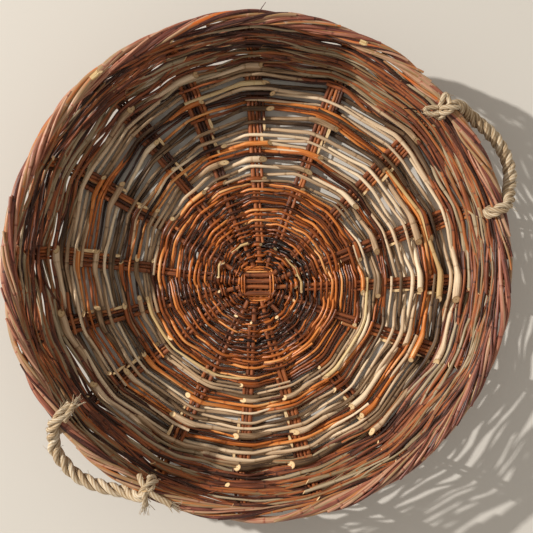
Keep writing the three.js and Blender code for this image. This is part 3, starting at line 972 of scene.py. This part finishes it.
# %% Fine weave in the middle
CENTRE_RINGS = (
    ((0.0255, 0.0515, 8, 0.0032, 0.0025), (0.04, 0.18, 0.32, 0.56), 0.0003, 0.0003, SHOWN_BUTTS),
    ((0.0515, 0.0785, 8, 0.0034, 0.0028), (0.12, 0.34, 0.52, 0.74), 0.0004, 0.0003, 0),
    ((0.0785, 0.1065, 8, 0.0036, 0.0030), (0.18, 0.38, 0.58, 0.8), 0.0005, 0.0004, 0),
    ((0.1065, 0.135, 8, 0.0043, 0.0031), (0.22, 0.42, 0.62, 0.84), 0.0006, 0.0004, SHOWN_BUTTS),
)
centre_rods = list(frame_rods)
for ring, tones, sag, wobble, shown in CENTRE_RINGS:
    centre_rods += rand_set(ring, tones, shown, sag=sag, wobble=wobble)
centre_nodes = numbered("centre_brown_row", 7)
woven("centre_weave", centre_rods, brown_bark, centre_nodes, sides=6)

# %% [markdown]
# Round the fine weave come a narrow ring of tan, one of brown, a broad one of grey-tan rods with
# loose gaps, and so on to the floor's edge. Each ring is one set, with its kind of willow, the
# flare of its butts and the number of CAD rows that it stands for.

# %% Rings of the floor
TAN = (tan_bark, (0.08, 0.3, 0.48, 0.62, 0.78, 0.95), "tan_willow")
BROWN = (brown_bark, (0.15, 0.38, 0.6, 0.8), "brown_willow")
FLOOR_RINGS = (
    ("inner_tan", TAN, (0.135, 0.1565, 4, 0.0050, 0.0034), 0.35, 2),
    ("inner_brown", BROWN, (0.1565, 0.1745, 4, 0.0044, 0.0032), 0.35, 2),
    ("middle_tan", TAN, (0.1745, 0.2105, 6, 0.0056, 0.0036), 0.4, 2),
    ("outer_brown", BROWN, (0.2105, 0.229, 4, 0.0048, 0.0034), 0.45, 1),
    ("outer_tan", TAN, (0.229, 0.260, 5, 0.0066, 0.0044), 0.4, 3),
)
for name, (finish, tones, slot), ring, flare, rows in FLOOR_RINGS:
    rods = rand_set(ring, tones, flare=flare)
    woven(f"{name}_weave", rods, finish, numbered(f"{name}_row", rows))

# %% [markdown]
# A few rods of the floor have lost their bark and are pale as cream. They catch the eye, so each
# one is put where the photograph has one: the arm it starts on, its strokes, its outer and inner
# way and its two thicknesses. They lie on top of the rows, held by their neighbours.

# %% Peeled rods on the floor
PEELED = (
    (2, 1, 0.2385, 0.2300, 0.0062, 0.0048),
    (6, 2, 0.2330, 0.2110, 0.0064, 0.0046),
    (6, 2, 0.0560, 0.0475, 0.0028, 0.0024),
    (1, 1, 0.0530, 0.0515, 0.0032, 0.0024),
    (15, 1, 0.0530, 0.0500, 0.0030, 0.0024),
    (8, 2, 0.1490, 0.1380, 0.0048, 0.0036),
    (13, 3, 0.1420, 0.1240, 0.0044, 0.0032),
)
PEELED_TONES = (0.4, 0.8)
peeled_rods = []
for arm, strokes, way_out, way_in, butt, tip in PEELED:
    tone = dice.uniform(*PEELED_TONES)
    peeled_rods.append(weaving_rod(arm, strokes, way_out, way_in, butt, tip, tone, lying=True))
woven("peeled_rods", peeled_rods, peeled_willow, [])

# %% [markdown]
# The wall is woven the same way from thin rods of many colours, and less evenly: its rods sag
# and cross, and light falls through short slits between them. Its bend up from the floor is a
# set of its own, whose rods run right round the basket.

# %% Wall weave
WALL_TONES = (0.04, 0.15, 0.25, 0.33, 0.4, 0.46, 0.62, 0.7, 0.8, 0.95)
WALL_CHANCES = {"wobble": 0.0015, "sag": 0.002, "scatter": 0.0026}
BEND_CHANCES = {"wobble": 0.0013, "sag": 0.0015, "scatter": 0.0016}
bend_rods = rand_set((0.250, 0.300, 17, 0.0050, 0.0042), WALL_TONES, **BEND_CHANCES)
woven("bend_weave", bend_rods, wall_bark, numbered("bend_row", 3))
lower_rods = rand_set((0.297, 0.332, 12, 0.0044, 0.0027), WALL_TONES, **WALL_CHANCES)
wall_nodes = numbered("wall_row", 5)
woven("lower_wall_weave", lower_rods, wall_bark, wall_nodes[:2])
upper_rods = rand_set((0.330, 0.366, 13, 0.0044, 0.0027), WALL_TONES, **WALL_CHANCES)
woven("upper_wall_weave", upper_rods, wall_bark, wall_nodes[2:])

# %% [markdown]
# Sets alone leave long even slits in the wall, where the real one has short ones. So loose
# rods lie across its rows, and some are slanted down over the bend. Their places step round the
# basket by five arms, which spreads them without a pattern that the eye picks up.

# %% Loose rods of the wall
LOOSE_RODS = 26
LOOSE_TOPS = (0.276, 0.360)
LOOSE_DROPS = (0.012, 0.026)
LOOSE_SIZES, LOOSE_TAPER = (0.0026, 0.0038), 0.7
LOOSE_SHOWN, LOOSE_TONE_SCATTER = 0.7, 0.1
SLANTED_RODS = 30
SLANTED_TOPS = (0.272, 0.290)
SLANTED_FEET = (0.256, 0.264)
SLANTED_SIZES, SLANTED_TAPER = (0.0030, 0.0042), 0.8
SLANTED_SHOWN = 0.5
ARM_STEP = 5
loose_rods = []
for k in range(LOOSE_RODS):
    top = dice.uniform(*LOOSE_TOPS)
    foot = top - dice.uniform(*LOOSE_DROPS)
    size = dice.uniform(*LOOSE_SIZES)
    tone = dice.choice(WALL_TONES) + dice.normal(0, LOOSE_TONE_SCATTER)
    strokes = dice.integers(2, 4)
    over = dice.random() < LOOSE_SHOWN
    loose_rods.append(weaving_rod(k * ARM_STEP, strokes, top, foot, size, size * LOOSE_TAPER, tone,
                                  over, wobble=0.002, sag=0.002))
for k in range(SLANTED_RODS):
    top, foot = dice.uniform(*SLANTED_TOPS), dice.uniform(*SLANTED_FEET)
    size = dice.uniform(*SLANTED_SIZES)
    strokes = dice.integers(1, 3)
    tone = dice.choice(WALL_TONES)
    over = dice.random() < SLANTED_SHOWN
    loose_rods.append(weaving_rod(k * ARM_STEP, strokes, top, foot, size, size * SLANTED_TAPER,
                                  tone, over, wobble=0.0015, sag=0.001))
print(len(loose_rods), "loose rods")

# %% [markdown]
# Willow rods that weren't trimmed well have thin side shoots. Each shoot here leaves a rod that
# is already in the wall, first along it and then inwards, and tapers to its tip.

# %% Side shoots of the wall
TWIGS = 34
TWIG_SIZES = (0.0022, 0.0019, 0.0012)
TWIG_REACHES = (0.010, 0.024)
TWIG_END_ROOM = 20
TWIG_AHEAD, TWIG_INWARDS, TWIG_RISE = 0.8, (0.1, 0.35), 0.4
TWIG_BEND_SHARE = 0.4
TWIG_SCATTER = 0.1


def wall_twig(rod):
    """A side shoot that leaves a rod of the wall and leans towards the basket's middle."""
    place = dice.integers(TWIG_END_ROOM, len(rod.points) - TWIG_END_ROOM)
    foot = rod.points[place]
    ahead = unit(rod.points[place + 2] - foot)
    inwards = np.append(unit(RIM_CENTRE - foot[:2]), TWIG_RISE)
    reach = dice.uniform(*TWIG_REACHES)
    bend = ahead * TWIG_AHEAD + inwards * dice.uniform(*TWIG_INWARDS)
    middle = foot + bend * reach * TWIG_BEND_SHARE
    end = foot + (bend + dice.normal(0, TWIG_SCATTER, 3)) * reach
    return Rod([foot, middle, end], TWIG_SIZES, dice.choice(WALL_TONES))


wall_rods = bend_rods + lower_rods + upper_rods
loose_rods += [wall_twig(wall_rods[k * ARM_STEP % len(wall_rods)]) for k in range(TWIGS)]
woven("loose_wall_rods", loose_rods, wall_bark, [], sides=6)

# %% [markdown]
# The border is what the tops of the stakes become: thick rods that come up inside the rim,
# cross over it clockwise side by side and end outside. Each is a helix round the rim's circle.
# They stand off it by different amounts, except under the rope, which pulls them tight.

# %% Path of a border rod
BORDER_TURN = math.radians(43)
BORDER_FROM = math.radians(228)
BORDER_POINTS = 14
TURN_SHARES = (0.85, 1.3)
TIP_SHARE = 0.75
BORDER_CUT = 0.5
RIPPLE, RIPPLE_RUN, RIPPLE_SHIFT = 0.0008, 9, 40
EYE_CALM = math.radians(4)


def wildness(angle):
    """1 on the open border and 0 under the rope, where the rods are pulled tight."""
    return min(max(abs(nearest_eye(angle)) / EYE_CALM - 1, 0), 1)


def border_point(angle, turn, reach):
    """A point round the border: turn goes from outside over the top, reach from its middle."""
    radius = BORDER_RADIUS + reach * math.cos(turn)
    plan = RIM_CENTRE + radius * np.array([math.cos(angle), math.sin(angle)])
    return np.append(plan, BORDER_LEVEL + reach * math.sin(turn))


def border_rod(start, thickness, stand, winds, tone):
    """A rod that comes up inside the rim, crosses over it clockwise and ends outside."""
    line = []
    turned = BORDER_TURN * dice.uniform(*TURN_SHARES)
    for share in np.linspace(0, 1, BORDER_POINTS):
        angle = start - turned * winds * share
        ripple = RIPPLE * math.sin(share * RIPPLE_RUN + start * RIPPLE_SHIFT)
        reach = BORDER_HALF - thickness / 2 + (stand + ripple) * wildness(angle)
        line.append(border_point(angle, BORDER_FROM - 2 * math.pi * winds * share, reach))
    size = np.linspace(thickness * TIP_SHARE, thickness, BORDER_POINTS)
    return Rod(line, size, tone, end_cut=-UP * BORDER_CUT, wobble=0.0004)


print("the border's middle line is", round(2 * math.pi * BORDER_RADIUS, 2), "m long")

# %% [markdown]
# Sixty thick rods cover the border evenly. Sixty thin ones lie among them and go only half way
# round it. One rod at the upper left is bright orange, and a small sprig sticks out at the top.

# %% Border
BORDER_RODS = 60
THIN_BORDER_RODS = 60
WINDS, THIN_WINDS = 0.82, 0.5
BORDER_TONES = (0.02, 0.12, 0.22, 0.35, 0.48, 0.56, 0.63, 0.72, 0.84)
BORDER_SCATTER, BORDER_TONE_SCATTER = 0.012, 0.04
THICK_SIZES, THICK_STANDS = (0.0046, 0.0082), (-0.0012, 0.0014)
THIN_SIZES, THIN_STANDS = (0.0024, 0.0040), (0.0002, 0.0026)
ORANGE_START = math.radians(121.6)
ORANGE_SIZE, ORANGE_STAND = 0.0092, 0.0014
SPRIG_ANGLE, SPRIG_TURN = math.radians(89.5), math.radians(60)
SPRIG_STEPS = ((0, 0, 0), (0.002, 0.004, 0.002), (0.008, 0.012, 0.003))
SPRIG_SIZES = (0.0012, 0.001, 0.0007)
SPRIG_DEPTH, SPRIG_TONE = 0.001, 0.1


def border_tone():
    return dice.choice(BORDER_TONES) + dice.normal(0, BORDER_TONE_SCATTER)


border_rods = []
for k in range(BORDER_RODS):
    start = 2 * math.pi * k / BORDER_RODS + dice.normal(0, BORDER_SCATTER)
    stand = dice.uniform(*THICK_STANDS)
    border_rods.append(border_rod(start, dice.uniform(*THICK_SIZES), stand, WINDS, border_tone()))
for k in range(THIN_BORDER_RODS):
    start = dice.uniform(0, 2 * math.pi)
    stand = dice.uniform(*THIN_STANDS)
    thickness = dice.uniform(*THIN_SIZES)
    border_rods.append(border_rod(start, thickness, stand, THIN_WINDS, border_tone()))
border_rods.append(border_rod(ORANGE_START, ORANGE_SIZE, ORANGE_STAND, WINDS, tone=1.0))
foot = border_point(SPRIG_ANGLE, SPRIG_TURN, BORDER_HALF - SPRIG_DEPTH)
border_rods.append(Rod([foot + np.array(step) for step in SPRIG_STEPS], SPRIG_SIZES, SPRIG_TONE))
woven("border", border_rods, border_bark, numbered("border_rod", 3), sides=10)

# %% [markdown]
# At two places a rod of the border has broken off, and its bare wood shows as a bundle of
# slivers. Each sliver is a short thin rod beside the others that ends in its own slanted cut. A
# torn end is given by its first and last bearing, its turn over the border and a thickness.

# %% Torn ends on the border
SLIVERS = 5
SLIVER_SPREAD = math.radians(6)
SLIVER_ENDS = (-0.7, 0.2)
SLIVER_FAN = np.linspace(0.8, 1.15, 4)
SLIVER_TONES = (0.3, 0.9)
SLIVER_SLOPES = (0.8, 2.2)
TORN_PROUD = 0.0006
TORN_ENDS = ((318.6, 321.4, 92, 0.0032), (24.6, 27.0, 112, 0.0028))
slivers = []
for first, last, turn, size in TORN_ENDS:
    for k in range(SLIVERS):
        side = (k - (SLIVERS - 1) / 2) * SLIVER_SPREAD
        bearings = np.linspace(first, last + dice.uniform(*SLIVER_ENDS), len(SLIVER_FAN))
        line = []
        for bearing, widening in zip(bearings, SLIVER_FAN):
            turned = math.radians(turn) + side * widening
            line.append(border_point(math.radians(90 - bearing), turned, BORDER_HALF + TORN_PROUD))
        tone = dice.uniform(*SLIVER_TONES)
        slivers.append(Rod(line, size, tone, end_cut=UP * dice.uniform(*SLIVER_SLOPES)))
woven("torn_border_ends", slivers, peeled_willow, [], sides=8)

# %% [markdown]
# The handles are three-strand rope, laid right-handed. Each end of a handle passes over the
# border and comes back underneath, with its strands tucked into the throat. The line of the
# rope is worked out first. A frame carried along it without twisting then places the three
# strands, which are rods for the same tree. Round the border the rope is pressed flat, so the
# strands lie side by side there.

# %% Rope laid from a line
ROPE_STEP = 0.0022
ROPE_STRANDS = 3
STRAND_SIZES = (0.94, 1.06)
ROPE_TONE, ROPE_TONE_SCATTER = 0.5, 0.12


def even_line(points, step):
    """The same line with points at equal steps."""
    points = corners_cut(np.array(points), 3)
    along = np.append(0, np.cumsum(np.linalg.norm(np.diff(points, axis=0), axis=1)))
    places = np.linspace(0, along[-1], round(along[-1] / step))
    return np.column_stack([np.interp(places, along, points[:, k]) for k in range(3)])


def carried_frames(points, first):
    """Two directions across the line at each point, carried along it without twisting."""
    across = []
    here = np.array(first)
    for direction in np.gradient(points, axis=0):
        direction = unit(direction)
        here = unit(here - direction * (here @ direction))
        across.append((here, np.cross(direction, here)))
    return across


def laid_strands(points, first, wide, flat, strand, lay):
    """Strands round a line, at offsets and thicknesses that change along it."""
    frames = carried_frames(points, first)
    turn = np.arange(len(points)) * 2 * math.pi * ROPE_STEP / lay
    made = []
    for k in range(ROPE_STRANDS):
        line = []
        for i, (one, other) in enumerate(frames):
            angle = turn[i] + k * 2 * math.pi / ROPE_STRANDS
            shift = one * wide[i] * math.cos(angle) + other * flat[i] * math.sin(angle)
            line.append(points[i] + shift)
        size = strand * dice.uniform(*STRAND_SIZES)
        made.append(Rod(line, size, ROPE_TONE + dice.normal(0, ROPE_TONE_SCATTER), rounds=0))
    return made


print("rope points every", ROPE_STEP * 1000, "mm")

# %% [markdown]
# Rope of plant fibre is hairy. Short hairs, under a hundred on a handle, are enough to show it:
# each is a very thin rod that starts on a strand, leaves it at a low angle and curls away. Its
# bend is given by a share along the strand and one away from it, and its tip by these two and
# a share in a direction of its own.

# %% Stray fibres
HAIR_LENGTHS = (0.004, 0.011)
HAIR_SIZE = 0.0005
HAIR_TONES = (0.6, 1.0)
HAIR_ROOT = 0.9
HAIR_BEND = (0.5, 0.25)
HAIR_TIP = (0.8, 0.5, 0.35)


def stray_fibres(strands, count):
    """Short hairs that leave the strands and curl away from the rope."""
    made = []
    for _ in range(count):
        strand = strands[dice.integers(len(strands))]
        k = dice.integers(2, len(strand.points) - 2)
        ahead = unit(strand.points[k + 1] - strand.points[k - 1])
        away = unit(np.cross(ahead, dice.normal(0, 1, 3)))
        start = strand.points[k] + away * strand.radius[k] * HAIR_ROOT
        reach = dice.uniform(*HAIR_LENGTHS)
        curl = unit(dice.normal(0, 1, 3))
        middle = start + (ahead * HAIR_BEND[0] + away * HAIR_BEND[1]) * reach
        end = start + (ahead * HAIR_TIP[0] + away * HAIR_TIP[1] + curl * HAIR_TIP[2]) * reach
        made.append(Rod([start, middle, end], HAIR_SIZE, dice.uniform(*HAIR_TONES), rounds=1))
    return made


print("a hair is", HAIR_SIZE * 1000, "mm thick")

# %% [markdown]
# Each strand is itself twisted from straw-coloured yarns of hair-thin fibres. Modelling the
# fibres would cost millions of faces, so the finish draws them: a wave that winds round the
# strand gives the yarns' grooves, and noise stretched along the same winding gives the fibres.
# In the colour the same wave is painted shade in the grooves and painted highlight on the
# ridges between them.

# %% Finish of the rope
YARNS = 5
YARN_TWIST = 900
FIBRES_ROUND, FIBRES_ALONG, FIBRE_SCALE = 1.6, 60, 1.5
ROPE_PATCH_STRETCH, ROPE_PATCH_SCALE = 2.0, 70
PAINTED_GROOVE_SHADING, FIBRE_TONE, ROPE_PATCH_TONE, STRAND_TONE = 0.3, 0.6, 0.8, 0.5
GROOVE_HEIGHT = 0.5


def rope_fibre(name):
    shader = Shader(name, roughness=0.85)
    across, upright = shader.section()
    angle = shader.maths("ARCTAN2", upright, across)
    wound = angle * YARNS - shader.attribute("along") * YARN_TWIST + shader.attribute("seed")
    groove = shader.maths("SINE", wound) * 0.5 + 0.5
    fibre_place = shader.wire("ShaderNodeCombineXYZ", x=wound * FIBRES_ROUND,
                              y=shader.attribute("along") * FIBRES_ALONG,
                              z=shader.attribute("seed"))
    fibre = shader.noise(fibre_place, FIBRE_SCALE, detail=4.0, roughness=0.65)
    patch = shader.noise(grain_place(shader, ROPE_PATCH_STRETCH), ROPE_PATCH_SCALE)
    # Painted shade and highlight: the groove wave darkens the colour in the yarns' grooves and
    # lightens it on their ridges.
    tone = groove * PAINTED_GROOVE_SHADING + fibre * FIBRE_TONE + (patch - 0.5) * ROPE_PATCH_TONE
    tone += (shader.attribute("tone") - ROPE_TONE) * STRAND_TONE
    shader.finish(base_color=shader.ramp(shader.clamped(tone), [
        (0.05, (120, 92, 62)), (0.35, (178, 150, 114)), (0.6, (212, 192, 162)),
        (0.95, (238, 226, 206)),
    ]))
    shader.bump(groove * GROOVE_HEIGHT + fibre, distance=0.0009, strength=0.8)
    return shader.material


straw_rope = rope_fibre("straw_rope")
print("rope material has", len(straw_rope.node_tree.nodes), "nodes")

# %% [markdown]
# A handle rides on its own body and turns about the line through its two eyes, so its path is
# built from the joint: the eyes are rings round that line, and the grip is given by the run
# along it and the reach out from it. It droops a little, as rope does under its own weight.

# %% Line of a handle
GRIP_DROOP = math.radians(25)
EYE_RING = 0.014729
EYE_DEGREES = range(-40, -300, -28)
EYE_SHIFT = 0.003
THROAT = (0.024, -0.008, 0.004)
GRIPS = {
    "handle_right": (
        (0.012, 0.0200), (0.023, 0.0275), (0.049, 0.0415), (0.077, 0.0450), (0.100, 0.0385),
        (0.117, 0.0235),
    ),
    "handle_left": (
        (0.012, 0.0200), (0.0245, 0.030), (0.046, 0.043), (0.073, 0.0515), (0.096, 0.047),
        (0.112, 0.041), (0.123, 0.025),
    ),
}


def handle_line(name, joint):
    """The rope's line from one tucked end to the other, and the handle's hinge direction."""
    start = np.array(joint["pos_m"])
    along = unit(np.array(joint["axis"]))
    offset = start[:2] - RIM_CENTRE
    span = along * (-2 * offset @ along[:2])
    level = np.array([-along[1], along[0], 0.0])
    if level[:2] @ offset < 0:
        level = -level
    out = level * math.cos(GRIP_DROOP) - UP * math.sin(GRIP_DROOP)
    upper = level * math.sin(GRIP_DROOP) + UP * math.cos(GRIP_DROOP)

    def eye(centre, inwards):
        ring = [centre + out * THROAT[0] + upper * THROAT[1] + inwards * THROAT[2]]
        for degrees in EYE_DEGREES:
            turn = math.radians(degrees)
            share = (degrees - EYE_DEGREES.start) / (EYE_DEGREES.stop - EYE_DEGREES.start)
            spoke = out * math.cos(turn) + upper * math.sin(turn)
            ring.append(centre + spoke * EYE_RING - inwards * EYE_SHIFT * share)
        return ring

    grip = [start + along * run + out * reach for run, reach in GRIPS[name]]
    line = eye(start, along) + grip + eye(start + span, -along)[::-1]
    return even_line(line, ROPE_STEP), along


print("a grip droops by", round(math.degrees(GRIP_DROOP)), "degrees")

# %% [markdown]
# In its eyes the rope is pressed flat against the border. Over the opening, a run counted from
# the rope's ends, the strands take their full size and round lay. The left rope is laid looser
# than the right one, so its strands wind round more slowly.

# %% Handles
OPENING = (0.075, 0.089)
OFFSETS_WIDE = (0.0043, 0.0047)
OFFSETS_FLAT = (0.0019, 0.0047)
ROPE_SIZES = (0.0054, 0.0072)
LAYS = {"handle_right": 0.036, "handle_left": 0.048}
HAIRS = 90


def make_handle(name, joint, body):
    line, along = handle_line(name, joint)
    from_end = np.minimum(np.arange(len(line)), np.arange(len(line))[::-1]) * ROPE_STEP
    wide = np.interp(from_end, OPENING, OFFSETS_WIDE)
    flat = np.interp(from_end, OPENING, OFFSETS_FLAT)
    size = np.interp(from_end, OPENING, ROPE_SIZES)
    strands = laid_strands(line, along, wide, flat, size, LAYS[name])
    rods = strands + stray_fibres(strands, HAIRS)
    woven(name, rods, straw_rope, [name], sides=12, body=body)


make_handle("handle_right", joints["right_handle_swing"], "right_handle")
make_handle("handle_left", joints["left_handle_swing"], "left_handle")

# %% [markdown]
# Where a handle is tied on, some rope stays with the border and doesn't turn with the handle:
# a doubled strand that is pushed through to the inside, a strand over the top of the border,
# and on the left a tail along the rim with a frayed tip. Each follows a few points that are
# given round the border by an angle along the rim, a turn over it and a reach in millimetres.

# %% Rope ends held by the border
TIGHT_ENDS = (
    ((49.9, 150, 17), (49.2, 160, 22), (47.7, 162, 27), (46.7, 160, 25.5), (47.4, 155, 20),
     (48.7, 140, 14)),
    ((49.4, 190, 14), (49.0, 140, 13), (48.2, 105, 13.5), (47.5, 78, 14), (47.6, 62, 13.5),
     (48.6, 70, 13), (50, 85, 15)),
)
FRAYED_ENDS = (
    ((209.4, 160, 13), (208.2, 125, 13), (206.4, 105, 14), (204.2, 92, 13.5), (202, 88, 12.5),
     (199.8, 80, 12)),
    ((206.6, 95, 17), (205.9, 70, 16), (205.3, 45, 16), (205.0, 30, 17)),
    ((231.0, 110, 15), (231.9, 135, 16), (232.6, 155, 21), (232.9, 160, 27)),
)
INNER_TWIN = ((233.4, 105, 14), (233.4, 130, 15), (233.6, 150, 19), (233.8, 160, 23))
TIGHT_SIZE = 0.0056
HELD_SIZE = 0.0072
HELD_TONE_SCATTER = 0.08


def held_strand(places, thickness):
    """A strand along places of clockwise bearing, turn and reach."""
    line = []
    for bearing, turn, reach in places:
        line.append(border_point(math.radians(90 - bearing), math.radians(turn), reach / 1000))
    tone = ROPE_TONE + dice.normal(0, HELD_TONE_SCATTER)
    return Rod(even_line(line, ROPE_STEP), thickness, tone, rounds=0)


tight = [held_strand(places, TIGHT_SIZE) for places in TIGHT_ENDS]
frayed = [held_strand(places, HELD_SIZE) for places in FRAYED_ENDS]
held = tight + frayed + [held_strand(INNER_TWIN, HELD_SIZE)]
print(len(held), "strands stay with the border")

# %% [markdown]
# A cut strand that isn't bound comes undone at its tip. The frayed tips are bunches of hairs
# that start inside the strand and spread from its end. They make one piece with the strands,
# because they ride on the basket together.

# %% Frayed tips
HELD_HAIRS = 60
FRAY_HAIRS = 26
FRAY_SIZE = 0.0007
FRAY_TONE = 0.8
FRAY_LENGTHS = (0.006, 0.014)
FRAY_START, FRAY_START_SCATTER = 0.004, 0.0012
FRAY_SPREAD, FRAY_AHEAD = 0.35, 0.3


def fray(strand):
    """Fibres that spread from the end of a strand."""
    tip, ahead = strand.points[-1], unit(strand.points[-1] - strand.points[-4])
    made = []
    for _ in range(FRAY_HAIRS):
        spread = unit(ahead + dice.normal(0, FRAY_SPREAD, 3))
        start = tip - ahead * FRAY_START + dice.normal(0, FRAY_START_SCATTER, 3)
        reach = dice.uniform(*FRAY_LENGTHS)
        end = start + (spread + ahead * FRAY_AHEAD) * reach
        line = [start, start + spread * reach / 2, end]
        made.append(Rod(line, FRAY_SIZE, FRAY_TONE, rounds=1))
    return made


frays = [hair for strand in frayed for hair in fray(strand)]
woven("rope_ends", held + frays + stray_fibres(held, HELD_HAIRS), straw_rope, [], sides=10)

# %% [markdown]
# The basket stands on a plain pale floor, which is stage and no part of it. The floor is one
# large square that runs on far past the shadow, and it is matt, so that it shows the basket's
# shadow and no mirror image.

# %% Floor
FLOOR_SIDE = 12.0
FLOOR_COLOUR = srgb(212, 207, 199)

half = FLOOR_SIDE / 2
floor_mesh = bpy.data.meshes.new("pale_floor")
floor_corners = [(-half, -half, 0), (half, -half, 0), (half, half, 0), (-half, half, 0)]
floor_mesh.from_pydata(floor_corners, [], [(0, 1, 2, 3)])
floor_shader = Shader("pale_floor", base_color=FLOOR_COLOUR, roughness=0.9, specular_ior_level=0.1)
floor_mesh.materials.append(floor_shader.material)
floor = bpy.data.objects.new("pale_floor", floor_mesh)
bpy.context.scene.collection.objects.link(floor)
print("floor of", FLOOR_SIDE, "m")

# %% [markdown]
# The light is one lamp and a soft sky. The lamp stands low at the left and a little to the top
# of the picture, as the photograph's shadow says: it falls to the right, with the wall's slits
# as bright streaks in it. The warm sky fills that shadow to about half light.

# %% Lamp and sky
KEY_DISTANCE = 6.0
KEY_BEARING = math.radians(290)
KEY_HEIGHT = math.radians(33)
KEY_ENERGY = 410
KEY_SIZE = 0.12
KEY_COLOUR = (1.0, 0.97, 0.92)
SKY_COLOUR = (1.0, 0.94, 0.86, 1.0)
SKY_STRENGTH = 0.5

key_data = bpy.data.lights.new("key", "AREA")
key_data.size = KEY_SIZE
key_data.energy = KEY_ENERGY
key_data.color = KEY_COLOUR
key = bpy.data.objects.new("key", key_data)
towards = Vector((
    math.sin(KEY_BEARING) * math.cos(KEY_HEIGHT),
    math.cos(KEY_BEARING) * math.cos(KEY_HEIGHT),
    math.sin(KEY_HEIGHT),
))
key.location = towards * KEY_DISTANCE
key.rotation_euler = towards.to_track_quat("Z", "Y").to_euler()
bpy.context.scene.collection.objects.link(key)

world = bpy.data.worlds.new("soft_sky")
world.use_nodes = True
sky = world.node_tree.nodes["Background"]
sky.inputs["Color"].default_value = SKY_COLOUR
sky.inputs["Strength"].default_value = SKY_STRENGTH
bpy.context.scene.world = world
print("lamp at", [round(c, 2) for c in key.location], "m")

# %% [markdown]
# The dressed basket may not outgrow the solids by more than a little loose willow and rope.

# %% [markdown]
